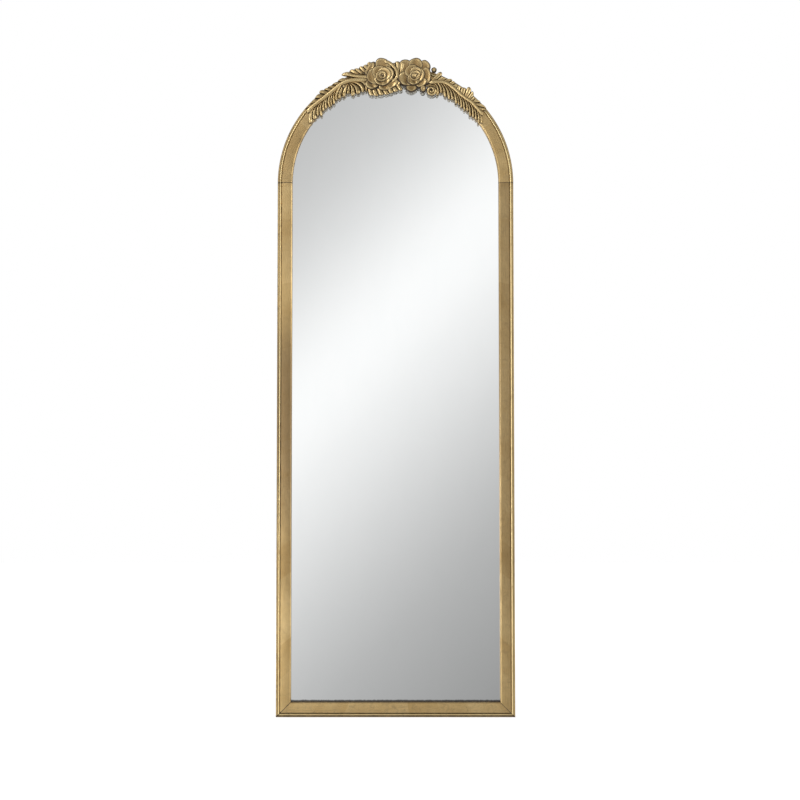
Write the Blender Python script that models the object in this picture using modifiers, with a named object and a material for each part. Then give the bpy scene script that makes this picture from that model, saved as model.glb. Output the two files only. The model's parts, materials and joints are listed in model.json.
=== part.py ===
"""Full-length arched mirror in a gold-leafed moulding with a carved crest of roses and acanthus leaves.

The front faces -Y, the back faces +Y, and the bottom rail rests on Z = 0. Sizes are in metres.
"""

import math

import bmesh
import bpy
from mathutils import Matrix, Vector

# Frame
FRAME_WIDTH = 0.610
FRAME_HEIGHT = 1.676
MOULDING_WIDTH = 0.038
MOULDING_DEPTH = 0.032
FIT_GAP = 0.0003
CUT_OVERRUN = 0.002

# Moulding section, each setback measured down from the crown of the wide face
EDGE_WIDTH = 0.0042
EDGE_SETBACK = 0.0040
EDGE_ROUND = 0.0012
QUIRK_WIDTH = 0.0008
QUIRK_DEPTH = 0.0012
BEAD_WIDTH = 0.0048
BEAD_SETBACK = 0.0006
GROOVE_WIDTH = 0.0017
FACE_CROWN = 0.0010
OVOLO_WIDTH = 0.0046
SIGHT_SETBACK = 0.0050
RABBET_WIDTH = 0.009
LIP_THICKNESS = 0.007

# Glass, backing board and the points that hold them
GLASS_THICKNESS = 0.004
BOARD_THICKNESS = 0.003
PANEL_CLEARANCE = 0.0006
POINT_THICKNESS = 0.0008
POINT_WIDTH = 0.008
POINT_REACH = 0.010
POINT_BITE = 0.006

# Joinery inside the frame
DOWEL_RADIUS = 0.004
DOWEL_LENGTH = 0.040
DOWEL_CHAMFER = 0.001
DOWEL_LIFT = 0.013
DOWEL_SPACING = 0.012
BISCUIT_LENGTH = 0.022
BISCUIT_WIDTH = 0.015
BISCUIT_THICKNESS = 0.003
BISCUIT_LIFT = 0.017

# Steel plates and screws on the back
PLATE_THICKNESS = 0.002
PLATE_WIDTH = 0.014
BRACE_LEG = 0.060
MENDING_HALF_LENGTH = 0.032
MENDING_HOLE_OFFSET = 0.025
SCREW_RADIUS = 0.00175
SCREW_LENGTH = 0.014
SCREW_TIP = 0.004
SCREW_HEAD_RADIUS = 0.0034
SCREW_HEAD_HEIGHT = 0.0020

# Strap hangers and rings
HANGER_DROP = 0.141
STRAP_THICKNESS = 0.0015
STRAP_WIDTH = 0.012
STRAP_LENGTH = 0.042
STRAP_HOLE_DROPS = (0.011, 0.034)
RING_WIRE = 0.003
RING_INNER_WIDTH = 0.020
RING_DROP = 0.022
RING_CORNER = 0.0035
EYE_CLEARANCE = 0.0003
EYE_SWEEP_DEGREES = 285

# Rubber bumpers
BUMPER_RADIUS = 0.007
BUMPER_THICKNESS = 0.005
BUMPER_ROUND = 0.0015
LOW_BUMPER_HEIGHT = 0.120
HIGH_BUMPER_ANGLE = 50

# Crest, seated on the front of the moulding: its depths, then its reaches as shares of the arch radius
LEAF_RISE = 0.0090
LEAF_FOOT = 0.0010
ROSE_DEPTH = 0.019
PETAL_DEPTH = 0.0090
ROSE_RADIUS_SHARE = 0.123
RIB_RADIUS_SHARE = 0.0138
SCROLL_RADIUS_SHARE = 0.032
SCROLL_WIRE_SHARE = 0.015

# Facets
ARCH_STEPS = 16
TURNED_STEPS = 10
SCREW_STEPS = 8
BUMPER_STEPS = 16
TUBE_SIDES_RESOLUTION = 1
ROSE_SECTORS = 34

# Derived places
ARCH_RADIUS = FRAME_WIDTH / 2
SPRING_HEIGHT = FRAME_HEIGHT - ARCH_RADIUS
ROSE_RADIUS = ARCH_RADIUS * ROSE_RADIUS_SHARE
RIB_RADIUS = ARCH_RADIUS * RIB_RADIUS_SHARE
SCROLL_RADIUS = ARCH_RADIUS * SCROLL_RADIUS_SHARE
SCROLL_WIRE = ARCH_RADIUS * SCROLL_WIRE_SHARE
HANGER_HEIGHT = SPRING_HEIGHT - HANGER_DROP
BACK_Y = MOULDING_DEPTH / 2
FRONT_Y = -MOULDING_DEPTH / 2
BACK_BAND = MOULDING_WIDTH - RABBET_WIDTH
BAND_MIDDLE = BACK_BAND / 2
LIP_BACK = MOULDING_DEPTH - SIGHT_SETBACK - LIP_THICKNESS
GLASS_FRONT = LIP_BACK - FIT_GAP
BOARD_FRONT = GLASS_FRONT - GLASS_THICKNESS - FIT_GAP
POINT_FRONT = BOARD_FRONT - BOARD_THICKNESS - FIT_GAP
SEAT_Y = BACK_Y + FIT_GAP
PLATE_FACE_Y = SEAT_Y + PLATE_THICKNESS
CREST_SEAT_Y = FRONT_Y - FIT_GAP
MITRE_OFFSET = FIT_GAP / math.sqrt(2)

OUTWARD = Vector((0, 1, 0))
UPRIGHT = Vector((0, 0, 1))
FACING_FRONT = Matrix(((1, 0, 0, 0), (0, 0, -1, 0), (0, 1, 0, 0), (0, 0, 0, 1)))
EDGE_ON = Matrix(((0, 0, 1, 0), (1, 0, 0, 0), (0, 1, 0, 0), (0, 0, 0, 1)))

# Finishes: colour, metallic and roughness
GILDED = ((0.42, 0.27, 0.10), 0.75, 0.38)
SILVERED = ((0.86, 0.88, 0.88), 1.0, 0.03)
HARDBOARD = ((0.22, 0.13, 0.07), 0.0, 0.80)
RAW_WOOD = ((0.58, 0.42, 0.24), 0.0, 0.70)
STEEL = ((0.55, 0.54, 0.52), 1.0, 0.35)
RUBBER = ((0.03, 0.03, 0.03), 0.0, 0.75)

# Crest places: degrees from the crown (to the right positive) and shares of the arch radius
LEFT_ROSE_SHARES = (-6.7, 0.912)
RIGHT_ROSE_SHARES = (10.3, 0.922)
LEFT_ROSE_SPREAD_SHARES = (1.09, 0.95)
RIGHT_ROSE_SPREAD_SHARES = (1.02, 0.88)
LEFT_RIB_SHARES = (
    (-12.0, 0.925), (-20.2, 0.940), (-26.4, 0.952), (-33.0, 0.948), (-40.0, 0.946), (-46.5, 0.953),
    (-51.5, 0.962),
)
RIGHT_RIB_SHARES = (
    (15.5, 0.915), (23.5, 0.944), (28.6, 0.952), (34.7, 0.944), (42.0, 0.942), (47.5, 0.943), (52.0, 0.948),
)

# Leaf lobes: place along the rib, then the degrees and share of the tip
LEFT_UPPER_LOBE_SHARES = (
    (0.3, -21.5, 0.986), (1.0, -25.8, 0.994), (1.6, -29.3, 1.000), (2.1, -32.6, 0.996), (2.6, -35.8, 1.000),
    (3.1, -39.2, 1.010), (3.6, -42.8, 1.006), (4.2, -46.6, 1.004), (4.8, -50.4, 1.002),
)
LEFT_LOWER_LOBE_SHARES = (
    (0.6, -24.0, 0.880), (1.6, -30.2, 0.866), (2.3, -34.4, 0.862), (2.8, -37.5, 0.858), (3.3, -40.8, 0.848),
    (3.8, -44.4, 0.852), (4.3, -47.8, 0.858), (4.8, -51.2, 0.866), (5.3, -54.6, 0.882),
)
RIGHT_UPPER_LOBE_SHARES = (
    (0.3, 22.0, 1.004), (0.7, 25.4, 1.002), (1.1, 28.8, 1.004), (1.6, 32.0, 1.000), (2.15, 35.0, 1.008),
    (2.6, 38.2, 1.020), (3.2, 41.4, 1.014), (3.7, 44.4, 0.998), (4.2, 47.6, 1.000), (4.7, 51.2, 1.003),
)
RIGHT_LOWER_LOBE_SHARES = (
    (0.4, 22.8, 0.850), (1.0, 26.6, 0.836), (1.5, 30.0, 0.838), (2.0, 33.4, 0.845), (2.5, 36.6, 0.847),
    (3.0, 40.0, 0.848), (3.5, 43.4, 0.852), (4.1, 46.8, 0.856), (4.7, 50.4, 0.862), (5.3, 54.6, 0.882),
)
LEFT_TOP_LEAF_SHARES = ((-11.0, 0.930), (-16.5, 0.950), (-22.0, 0.975), (-27.5, 1.004))
LEFT_TOP_LOBE_SHARES = ((0.6, -16.4, 1.044), (1.1, -19.4, 1.036), (1.6, -22.4, 1.034), (2.2, -25.2, 1.026))
LEFT_SCROLL_SHARES = (
    (-33.5, 0.888), (-30.3, 0.912), (-26.1, 0.924), (-21.7, 0.914), (-18.0, 0.886), (-16.9, 0.855),
)
LEFT_SCROLL_LOBE_SHARES = (
    (0.8, -31.4, 0.850), (1.6, -28.6, 0.834), (2.4, -25.6, 0.824), (3.2, -22.4, 0.818), (4.0, -19.2, 0.822),
)
RIGHT_SCROLL_SHARES = (21.3, 0.846)
RIGHT_BULB_STEM_SHARES = ((22.4, 0.900), (19.0, 0.876), (17.2, 0.848))
RIGHT_BULB_PETAL_SHARES = (16.9, 0.836, 0.22, 0.24)
BUD_STEM_SHARES = ((20.4, 0.940), (19.5, 0.985), (19.2, 1.016))
BUD_PETAL_SHARES = (19.1, 1.019, 0.19, 0.20)
FAN_LOBE_SHARES = (
    ((2.1, 0.885), (1.2, 0.940), (0.0, 0.990), (-2.0, 1.026)),
    ((2.0, 0.885), (2.0, 0.940), (1.8, 0.995), (1.5, 1.036)),
)
LOWER_LEAF_SHARES = ((-16.6, 0.850), (-12.0, 0.835), (-7.4, 0.828), (-3.2, 0.832), (0.8, 0.842), (4.6, 0.852))
LOWER_LOBE_SHARES = (
    (0.3, -14.6, 0.782), (0.9, -11.4, 0.758), (1.6, -8.1, 0.752), (2.3, -4.8, 0.758), (3.0, -1.7, 0.770),
    (3.7, 1.3, 0.786), (4.4, 4.1, 0.802),
)

# Leaf rows from the rib out to the edge: share of the way, rise on a lobe's ridge and in a valley
LEAF_ROW_SHARES = ((0.13, 0.66, 0.54), (0.45, 1.00, 0.52), (0.82, 0.92, 0.44), (1.00, 0.46, 0.28))
LOBE_COLUMNS = 4
LOBE_ROUNDNESS = 0.6
LOBE_NOTCH_SHARE = 0.22
LOBE_SWEEP_SHARE = 0.50
LOBE_LOOK_AHEAD_SHARE = 0.1

# Petals behind and below the roses: degrees and share of the arch radius, then spread across and up
LEFT_BACK_PETAL_SHARES = ((-7.2, 1.011, 0.50, 0.50), (-12.2, 0.998, 0.50, 0.44))
RIGHT_BACK_PETAL_SHARES = (
    (6.0, 1.006, 0.44, 0.40), (10.6, 1.021, 0.50, 0.46), (14.9, 1.008, 0.46, 0.46), (8.3, 0.836, 0.50, 0.40),
    (17.0, 0.902, 0.36, 0.42),
)
PETAL_PROFILE_SHARES = ((0.0, 0.56), (0.38, 0.62), (0.78, 1.00), (1.0, 0.56), (1.0, -0.12), (0.0, -0.12))
PETAL_STEPS = 13

# Rose layers from outside in, as shares of its radius and depth: edge, cusp depth, petals, turn, rim, cup
ROSE_LAYER_SHARES = (
    (1.00, 0.20, 5, 0.10, 0.54, 0.32),
    (0.77, 0.20, 5, 0.55, 0.72, 0.50),
    (0.56, 0.20, 4, 0.20, 0.86, 0.64),
    (0.38, 0.18, 3, 0.75, 0.96, 0.74),
    (0.22, 0.16, 2, 0.35, 1.00, 0.82),
)
PETAL_SKEW = 1.5
PETAL_FULLNESS = 0.5
ROSE_LIP_SHARE = 0.055
ROSE_CUSP_DROP_SHARE = 0.16
ROSE_CUP_REACH_SHARE = 0.62
ROSE_HEART_SHARE = 0.92

cutters_by_target = {}
joined_pieces = {}


def clear_scene():
    """Removes what the scene holds at the start."""
    for item in list(bpy.data.objects):
        bpy.data.objects.remove(item)


def new_collection(name, parent):
    """Makes a collection inside another."""
    collection = bpy.data.collections.new(name)
    parent.children.link(collection)
    return collection


def finish_material(name, finish):
    """One material per piece: colour, metallic and roughness of its finish."""
    colour, metallic, roughness = finish
    material = bpy.data.materials.new(name + "_finish")
    material.use_nodes = True
    shader = material.node_tree.nodes["Principled BSDF"]
    shader.inputs["Base Color"].default_value = (*colour, 1)
    shader.inputs["Metallic"].default_value = metallic
    shader.inputs["Roughness"].default_value = roughness
    return material


def place_object(name, data, finish=None, matrix=None, collection=None):
    """Links an object, with its finish if it is a part or as a hidden helper if it isn't."""
    item = bpy.data.objects.new(name, data)
    if matrix is not None:
        item.matrix_world = matrix
    if finish is None:
        (collection or cutter_collection).objects.link(item)
        item.hide_render = True
        item.display_type = "WIRE"
    else:
        part_collection.objects.link(item)
        data.materials.append(finish_material(name, finish))
    return item


def mesh_from(bm, name):
    """Closes a bmesh into a mesh with its faces pointing out."""
    bmesh.ops.recalc_face_normals(bm, faces=bm.faces[:])
    mesh = bpy.data.meshes.new(name)
    bm.to_mesh(mesh)
    bm.free()
    return mesh


def mesh_of_curve(item):
    """Turns a curve object into a welded mesh and removes the curve."""
    bpy.context.view_layer.update()
    graph = bpy.context.evaluated_depsgraph_get()
    mesh = bpy.data.meshes.new_from_object(item.evaluated_get(graph))
    bm = bmesh.new()
    bm.from_mesh(mesh)
    bmesh.ops.remove_doubles(bm, verts=bm.verts[:], dist=FIT_GAP / 100)
    bmesh.ops.recalc_face_normals(bm, faces=bm.faces[:])
    bm.to_mesh(mesh)
    bm.free()
    bpy.data.objects.remove(item)
    return mesh


def smooth(item, degrees=35):
    """Shades a round piece smooth, with its real edges kept sharp."""
    item.data.shade_smooth()
    item.data.set_sharp_from_angle(angle=math.radians(degrees))
    return item


def arc(centre, radii, start, end, steps):
    """Points on an elliptical arc between two angles in degrees."""
    angles = [math.radians(start + (end - start) * i / steps) for i in range(steps + 1)]
    return [(centre[0] + radii[0] * math.cos(a), centre[1] + radii[1] * math.sin(a)) for a in angles]


def cuts(cutter, *targets):
    """Notes that a cutter is taken out of the named pieces."""
    for target in targets:
        if target not in cutters_by_target:
            cutters_by_target[target] = new_collection("cuts_" + target, cutter_collection)
        cutters_by_target[target].objects.link(cutter)
    return cutter


def along(direction, location):
    """A placement that turns local Z to a direction."""
    turn = UPRIGHT.rotation_difference(direction).to_matrix().to_4x4()
    return Matrix.Translation(location) @ turn


def turned(name, profile, finish, matrix, steps=TURNED_STEPS):
    """A turned piece: a profile of (radius, height) from its top to its bottom, spun about local Z."""
    mesh = bpy.data.meshes.new(name)
    edges = [(i, i + 1) for i in range(len(profile) - 1)]
    mesh.from_pydata([(radius, 0, height) for radius, height in profile], edges, [])
    item = place_object(name, mesh, finish, matrix)
    spin = item.modifiers.new("Turn", "SCREW")
    spin.steps = steps
    spin.render_steps = steps
    spin.use_merge_vertices = True
    spin.merge_threshold = 0.00001
    return item


def rod_cutter(name, radius, start, end, steps=TURNED_STEPS):
    """A round cutter between two points."""
    bm = bmesh.new()
    run = end - start
    bmesh.ops.create_cone(
        bm, cap_ends=True, segments=steps, radius1=radius, radius2=radius, depth=run.length
    )
    return place_object(name, mesh_from(bm, name), matrix=along(run, (start + end) / 2))


def flat_curve_mesh(name, outline, thickness):
    """A flat outline in local XY, given half its thickness either way along local Z."""
    curve = bpy.data.curves.new(name, "CURVE")
    curve.dimensions = "2D"
    curve.fill_mode = "BOTH"
    curve.extrude = thickness / 2
    spline = curve.splines.new("POLY")
    spline.points.add(len(outline) - 1)
    for point, (x, y) in zip(spline.points, outline):
        point.co = (x, y, 0, 1)
    spline.use_cyclic_u = True
    item = bpy.data.objects.new(name, curve)
    bpy.context.scene.collection.objects.link(item)
    return mesh_of_curve(item)


def plate(name, outline, thickness, finish, centre_y, frame=FACING_FRONT, offset=(0, 0)):
    """A flat piece whose outline lies in the plane of the mirror."""
    mesh = flat_curve_mesh(name, outline, thickness)
    place = Matrix.Translation((offset[0], centre_y, offset[1]))
    return place_object(name, mesh, finish, place @ frame)


def moulding_section():
    """The section of the moulding: (inset from the outer edge, height above the back)."""
    crown = MOULDING_DEPTH
    edge_top = crown - EDGE_SETBACK
    foot = edge_top - QUIRK_DEPTH
    bead_start = EDGE_WIDTH + QUIRK_WIDTH
    bead_end = bead_start + BEAD_WIDTH
    face_start = bead_end + GROOVE_WIDTH
    face_end = MOULDING_WIDTH - OVOLO_WIDTH
    face_edge = crown - FACE_CROWN
    sight = crown - SIGHT_SETBACK
    face_steps = 4
    points = [(0, 0)]
    points += arc((EDGE_ROUND, edge_top - EDGE_ROUND), (EDGE_ROUND, EDGE_ROUND), 180, 90, 2)
    points += [(EDGE_WIDTH, edge_top), (EDGE_WIDTH, foot)]
    bead_centre = ((bead_start + bead_end) / 2, foot)
    points += arc(bead_centre, (BEAD_WIDTH / 2, crown - BEAD_SETBACK - foot), 180, 0, 5)
    points.append((face_start, foot))
    for i in range(face_steps):
        across = i / face_steps
        sag = FACE_CROWN * (2 * across - 1) ** 2
        points.append((face_start + (face_end - face_start) * across, crown - sag))
    points += arc((face_end, sight), (OVOLO_WIDTH, face_edge - sight), 90, 0, 3)
    points += [(MOULDING_WIDTH, LIP_BACK), (BACK_BAND, LIP_BACK), (BACK_BAND, 0)]
    return points


def section_face(bm, place):
    """The section as one face, each point placed by a function of its inset and height."""
    return bm.faces.new([bm.verts.new(place(inset, BACK_Y - lift)) for inset, lift in moulding_section()])


def extruded(bm, face, run):
    """Extrudes the section face along a straight run."""
    made = bmesh.ops.extrude_face_region(bm, geom=[face])
    ends = [part for part in made["geom"] if isinstance(part, bmesh.types.BMVert)]
    bmesh.ops.translate(bm, verts=ends, vec=run)


def make_stile(name, side):
    """An upright of the frame, mitred at its foot, square at the springing line."""
    bm = bmesh.new()
    face = section_face(bm, lambda inset, y: Vector((side * (ARCH_RADIUS - inset), y, 0)))
    extruded(bm, face, Vector((0, 0, SPRING_HEIGHT - FIT_GAP / 2)))
    for vert in bm.verts:
        if vert.co.z < ARCH_RADIUS:
            vert.co.z = ARCH_RADIUS - abs(vert.co.x) + MITRE_OFFSET
    return place_object(name, mesh_from(bm, name), GILDED)


def make_rail(name):
    """The bottom rail, mitred at both ends."""
    bm = bmesh.new()
    face = section_face(bm, lambda inset, y: Vector((-ARCH_RADIUS, y, inset)))
    extruded(bm, face, Vector((FRAME_WIDTH, 0, 0)))
    for vert in bm.verts:
        vert.co.x = math.copysign(ARCH_RADIUS - vert.co.z - MITRE_OFFSET, vert.co.x)
    return place_object(name, mesh_from(bm, name), GILDED)


def make_arch_half(name, side):
    """A quarter turn of moulding from the springing line to the crown."""
    bm = bmesh.new()
    face = section_face(bm, lambda inset, y: Vector((side * (ARCH_RADIUS - inset), y, SPRING_HEIGHT)))
    geometry = [face, *face.edges, *face.verts]
    foot = list(face.verts)
    centre = (0, 0, SPRING_HEIGHT)
    turn = -side * math.pi / 2
    spun = bmesh.ops.spin(bm, geom=geometry, cent=centre, axis=OUTWARD, angle=turn, steps=ARCH_STEPS)
    top = [part for part in spun["geom_last"] if isinstance(part, bmesh.types.BMVert)]
    bmesh.ops.translate(bm, verts=foot, vec=(0, 0, FIT_GAP / 2))
    bmesh.ops.translate(bm, verts=top, vec=(side * FIT_GAP / 2, 0, 0))
    return smooth(place_object(name, mesh_from(bm, name), GILDED), 20)


def panel_outline(clearance):
    """The outline of what lies in the rebate: straight sides under a round top."""
    half = ARCH_RADIUS - BACK_BAND - clearance
    foot = BACK_BAND + clearance
    return [(-half, foot), (half, foot)] + arc((0, SPRING_HEIGHT), (half, half), 0, 180, 2 * ARCH_STEPS)


def make_panels():
    """The mirror glass and the board behind it."""
    outline = panel_outline(PANEL_CLEARANCE)
    glass_y = BACK_Y - GLASS_FRONT + GLASS_THICKNESS / 2
    board_y = BACK_Y - BOARD_FRONT + BOARD_THICKNESS / 2
    plate("mirror_glass", outline, GLASS_THICKNESS, SILVERED, glass_y)
    plate("backing_board", outline, BOARD_THICKNESS, HARDBOARD, board_y)


def make_point(name, wall, outward, target):
    """A flat point pushed into the wall of the rebate, lying on the back of the board."""
    half = POINT_WIDTH / 2
    shoulder = POINT_BITE - half
    outline = [(-POINT_REACH, -half), (shoulder, -half), (POINT_BITE, 0), (shoulder, half)]
    outline.append((-POINT_REACH, half))
    side = OUTWARD.cross(outward)
    turn = Matrix((outward, side, OUTWARD)).transposed().to_4x4()
    place = Matrix.Translation(wall) @ turn
    place_object(name, flat_curve_mesh(name, outline, POINT_THICKNESS), STEEL, place)
    reach = POINT_BITE + FIT_GAP
    slot_half = half + FIT_GAP
    slot = [(-CUT_OVERRUN, -slot_half), (reach, -slot_half), (reach, slot_half)]
    slot.append((-CUT_OVERRUN, slot_half))
    slot_name = name + "_slot"
    mesh = flat_curve_mesh(slot_name, slot, POINT_THICKNESS + 2 * FIT_GAP)
    cuts(place_object(slot_name, mesh, matrix=place), target)


def make_points():
    """Eight points: two in each stile, two in the rail and one in each half of the arch."""
    y = BACK_Y - POINT_FRONT + POINT_THICKNESS / 2
    wall = ARCH_RADIUS - BACK_BAND
    height_shares = (0.25, 0.75)
    rail_share = 0.5
    for side, hand in ((-1, "left"), (1, "right")):
        for share, level in zip(height_shares, ("lower", "upper")):
            place = Vector((side * wall, y, SPRING_HEIGHT * share))
            make_point(f"{hand}_{level}_point", place, Vector((side, 0, 0)), f"{hand}_stile")
        place = Vector((side * wall * rail_share, y, BACK_BAND))
        make_point(f"{hand}_rail_point", place, Vector((0, 0, -1)), "bottom_rail")
        slant = Vector((side, 0, 1)).normalized()
        flat_radius = wall * math.cos(math.pi / 4 / ARCH_STEPS)
        place = Vector((0, y, SPRING_HEIGHT)) + slant * flat_radius
        make_point(f"{hand}_arch_point", place, slant, f"{hand}_arch")


def make_dowel(name, centre, direction, targets):
    """A beech dowel with chamfered ends, and the holes that it sits in."""
    half = DOWEL_LENGTH / 2
    profile = [
        (0, half), (DOWEL_RADIUS - DOWEL_CHAMFER, half), (DOWEL_RADIUS, half - DOWEL_CHAMFER),
        (DOWEL_RADIUS, DOWEL_CHAMFER - half), (DOWEL_RADIUS - DOWEL_CHAMFER, -half), (0, -half),
    ]
    smooth(turned(name, profile, RAW_WOOD, along(direction, centre)))
    reach = direction * (half + FIT_GAP)
    cuts(rod_cutter(name + "_hole", DOWEL_RADIUS + 2 * FIT_GAP, centre - reach, centre + reach), *targets)


def make_joinery():
    """Dowels at the springing line and the crown, and a biscuit in each mitre."""
    y = BACK_Y - DOWEL_LIFT
    for shift, rank in ((-DOWEL_SPACING / 2, "outer"), (DOWEL_SPACING / 2, "inner")):
        inset = BAND_MIDDLE + shift
        for side, hand in ((-1, "left"), (1, "right")):
            centre = Vector((side * (ARCH_RADIUS - inset), y, SPRING_HEIGHT))
            make_dowel(f"{hand}_{rank}_dowel", centre, UPRIGHT, (f"{hand}_stile", f"{hand}_arch"))
        centre = Vector((0, y, FRAME_HEIGHT - inset))
        make_dowel(f"crown_{rank}_dowel", centre, Vector((1, 0, 0)), ("left_arch", "right_arch"))
    for side, hand in ((-1, "left"), (1, "right")):
        centre = Vector((side * (ARCH_RADIUS - BAND_MIDDLE), BACK_Y - BISCUIT_LIFT, BAND_MIDDLE))
        turn = Matrix.Rotation(side * math.pi / 4, 4, "Y") @ FACING_FRONT
        place = Matrix.Translation(centre) @ turn
        for name, grow in ((f"{hand}_mitre_biscuit", 0), (f"{hand}_biscuit_pocket", FIT_GAP)):
            oval = arc((0, 0), (BISCUIT_LENGTH / 2 + grow, BISCUIT_WIDTH / 2 + grow), 0, 337.5, 15)
            mesh = flat_curve_mesh(name, oval, BISCUIT_THICKNESS + 2 * grow)
            if grow:
                cuts(place_object(name, mesh, matrix=place), f"{hand}_stile", "bottom_rail")
            else:
                place_object(name, mesh, RAW_WOOD, place)


def make_screw(name, x, z, face_y, targets):
    """A round-headed wood screw driven from the back, and the hole that it goes into."""
    head_shoulder = 0.55
    head_side = 0.45
    profile = [
        (0, SCREW_HEAD_HEIGHT),
        (SCREW_HEAD_RADIUS * head_shoulder, SCREW_HEAD_HEIGHT),
        (SCREW_HEAD_RADIUS, SCREW_HEAD_HEIGHT * head_side),
        (SCREW_HEAD_RADIUS, 0),
        (SCREW_RADIUS, 0),
        (SCREW_RADIUS, SCREW_TIP - SCREW_LENGTH),
        (0, -SCREW_LENGTH),
    ]
    seat = Vector((x, face_y + FIT_GAP, z))
    smooth(turned(name, profile, STEEL, along(OUTWARD, seat), SCREW_STEPS))
    deep = seat - OUTWARD * (SCREW_LENGTH + FIT_GAP)
    cuts(rod_cutter(name + "_hole", SCREW_RADIUS + 2 * FIT_GAP, deep, seat + OUTWARD * CUT_OVERRUN), *targets)


def make_braces():
    """A flat steel brace on the back of each mitred corner, with two screws in each leg."""
    half = PLATE_WIDTH / 2
    leg_shares = (0.40, 0.90)
    outline = arc((BRACE_LEG, 0), (half, half), -90, 90, 6) + [(half, half)]
    outline += arc((0, BRACE_LEG), (half, half), 0, 180, 6) + [(-half, -half)]
    centre_y = SEAT_Y + PLATE_THICKNESS / 2
    for side, hand in ((-1, "left"), (1, "right")):
        corner = side * (ARCH_RADIUS - BAND_MIDDLE)
        placed = [(-side * x, z) for x, z in outline]
        name = f"{hand}_corner_brace"
        plate(name, placed, PLATE_THICKNESS, STEEL, centre_y, offset=(corner, BAND_MIDDLE))
        for number, share in enumerate(leg_shares, start=1):
            reach = BRACE_LEG * share
            screw = f"{hand}_brace_rail_screw_{number}"
            make_screw(screw, corner - side * reach, BAND_MIDDLE, PLATE_FACE_Y, (name, "bottom_rail"))
            screw = f"{hand}_brace_stile_screw_{number}"
            make_screw(screw, corner, BAND_MIDDLE + reach, PLATE_FACE_Y, (name, f"{hand}_stile"))


def make_mending_plates():
    """A straight plate across the back of each joint of stile and arch, with a screw in each piece."""
    half = PLATE_WIDTH / 2
    run = MENDING_HALF_LENGTH - half
    outline = arc((0, run), (half, half), 0, 180, 6) + arc((0, -run), (half, half), 180, 360, 6)
    centre_y = SEAT_Y + PLATE_THICKNESS / 2
    lean = MENDING_HOLE_OFFSET**2 / (2 * (ARCH_RADIUS - BAND_MIDDLE))
    for side, hand in ((-1, "left"), (1, "right")):
        x = side * (ARCH_RADIUS - BAND_MIDDLE - lean / 2)
        name = f"{hand}_mending_plate"
        plate(name, outline, PLATE_THICKNESS, STEEL, centre_y, offset=(x, SPRING_HEIGHT))
        low = SPRING_HEIGHT - MENDING_HOLE_OFFSET
        high = SPRING_HEIGHT + MENDING_HOLE_OFFSET
        make_screw(f"{hand}_mending_screw_1", x, low, PLATE_FACE_Y, (name, f"{hand}_stile"))
        make_screw(f"{hand}_mending_screw_2", x, high, PLATE_FACE_Y, (name, f"{hand}_arch"))


def strap_outline(inner):
    """The strap edge-on: (distance from its seat, height above the eye), curled into an eye."""
    outer = inner + STRAP_THICKNESS
    centre = (outer, 0)
    last = 180 - EYE_SWEEP_DEGREES
    points = [(0, -STRAP_LENGTH)]
    points += arc(centre, (outer, outer), 180, last, 12)
    points += arc(centre, (inner, inner), last, 180, 10)
    points.append((STRAP_THICKNESS, -STRAP_LENGTH))
    return points


def ring_points():
    """The ring as it hangs: a straight bar in the eye, two sides and a round bottom."""
    half = (RING_INNER_WIDTH + RING_WIRE) / 2
    corner = half - RING_CORNER
    points = arc((corner, -RING_CORNER), (RING_CORNER, RING_CORNER), 90, 0, 3)
    points += arc((0, half - RING_DROP), (half, half), 0, -180, 10)
    points += arc((-corner, -RING_CORNER), (RING_CORNER, RING_CORNER), 180, 90, 3)
    return points


def tube_curve(name, points, radii, cyclic=False, resolution=TUBE_SIDES_RESOLUTION):
    """A round tube along points, with its radius at each point."""
    widest = max(radii)
    curve = bpy.data.curves.new(name, "CURVE")
    curve.dimensions = "3D"
    curve.bevel_depth = widest
    curve.bevel_resolution = resolution
    curve.use_fill_caps = True
    spline = curve.splines.new("POLY")
    spline.points.add(len(points) - 1)
    for point, place, radius in zip(spline.points, points, radii):
        point.co = (*place, 1)
        point.radius = radius / widest
    spline.use_cyclic_u = cyclic
    return curve


def make_hangers():
    """A strap hanger on the back of each stile, with the ring that swings in its eye."""
    inner = RING_WIRE / 2 + EYE_CLEARANCE
    eye_y = SEAT_Y + STRAP_THICKNESS + inner
    for side, hand in ((-1, "left"), (1, "right")):
        x = side * (ARCH_RADIUS - BAND_MIDDLE)
        name = f"{hand}_hanger_strap"
        mesh = flat_curve_mesh(name, strap_outline(inner), STRAP_WIDTH)
        place = Matrix.Translation((x, SEAT_Y, HANGER_HEIGHT)) @ EDGE_ON
        smooth(place_object(name, mesh, STEEL, place))
        face_y = SEAT_Y + STRAP_THICKNESS
        for number, drop in enumerate(STRAP_HOLE_DROPS, start=1):
            targets = (name, f"{hand}_stile", f"{hand}_arch")
            make_screw(f"{hand}_hanger_screw_{number}", x, HANGER_HEIGHT - drop, face_y, targets)
        name = f"{hand}_hanger_ring"
        points = [(px, 0, pz) for px, pz in ring_points()]
        curve = tube_curve(name, points, [RING_WIRE / 2] * len(points), cyclic=True, resolution=2)
        place_object(name, curve, STEEL, Matrix.Translation((x, eye_y, HANGER_HEIGHT)))


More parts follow.
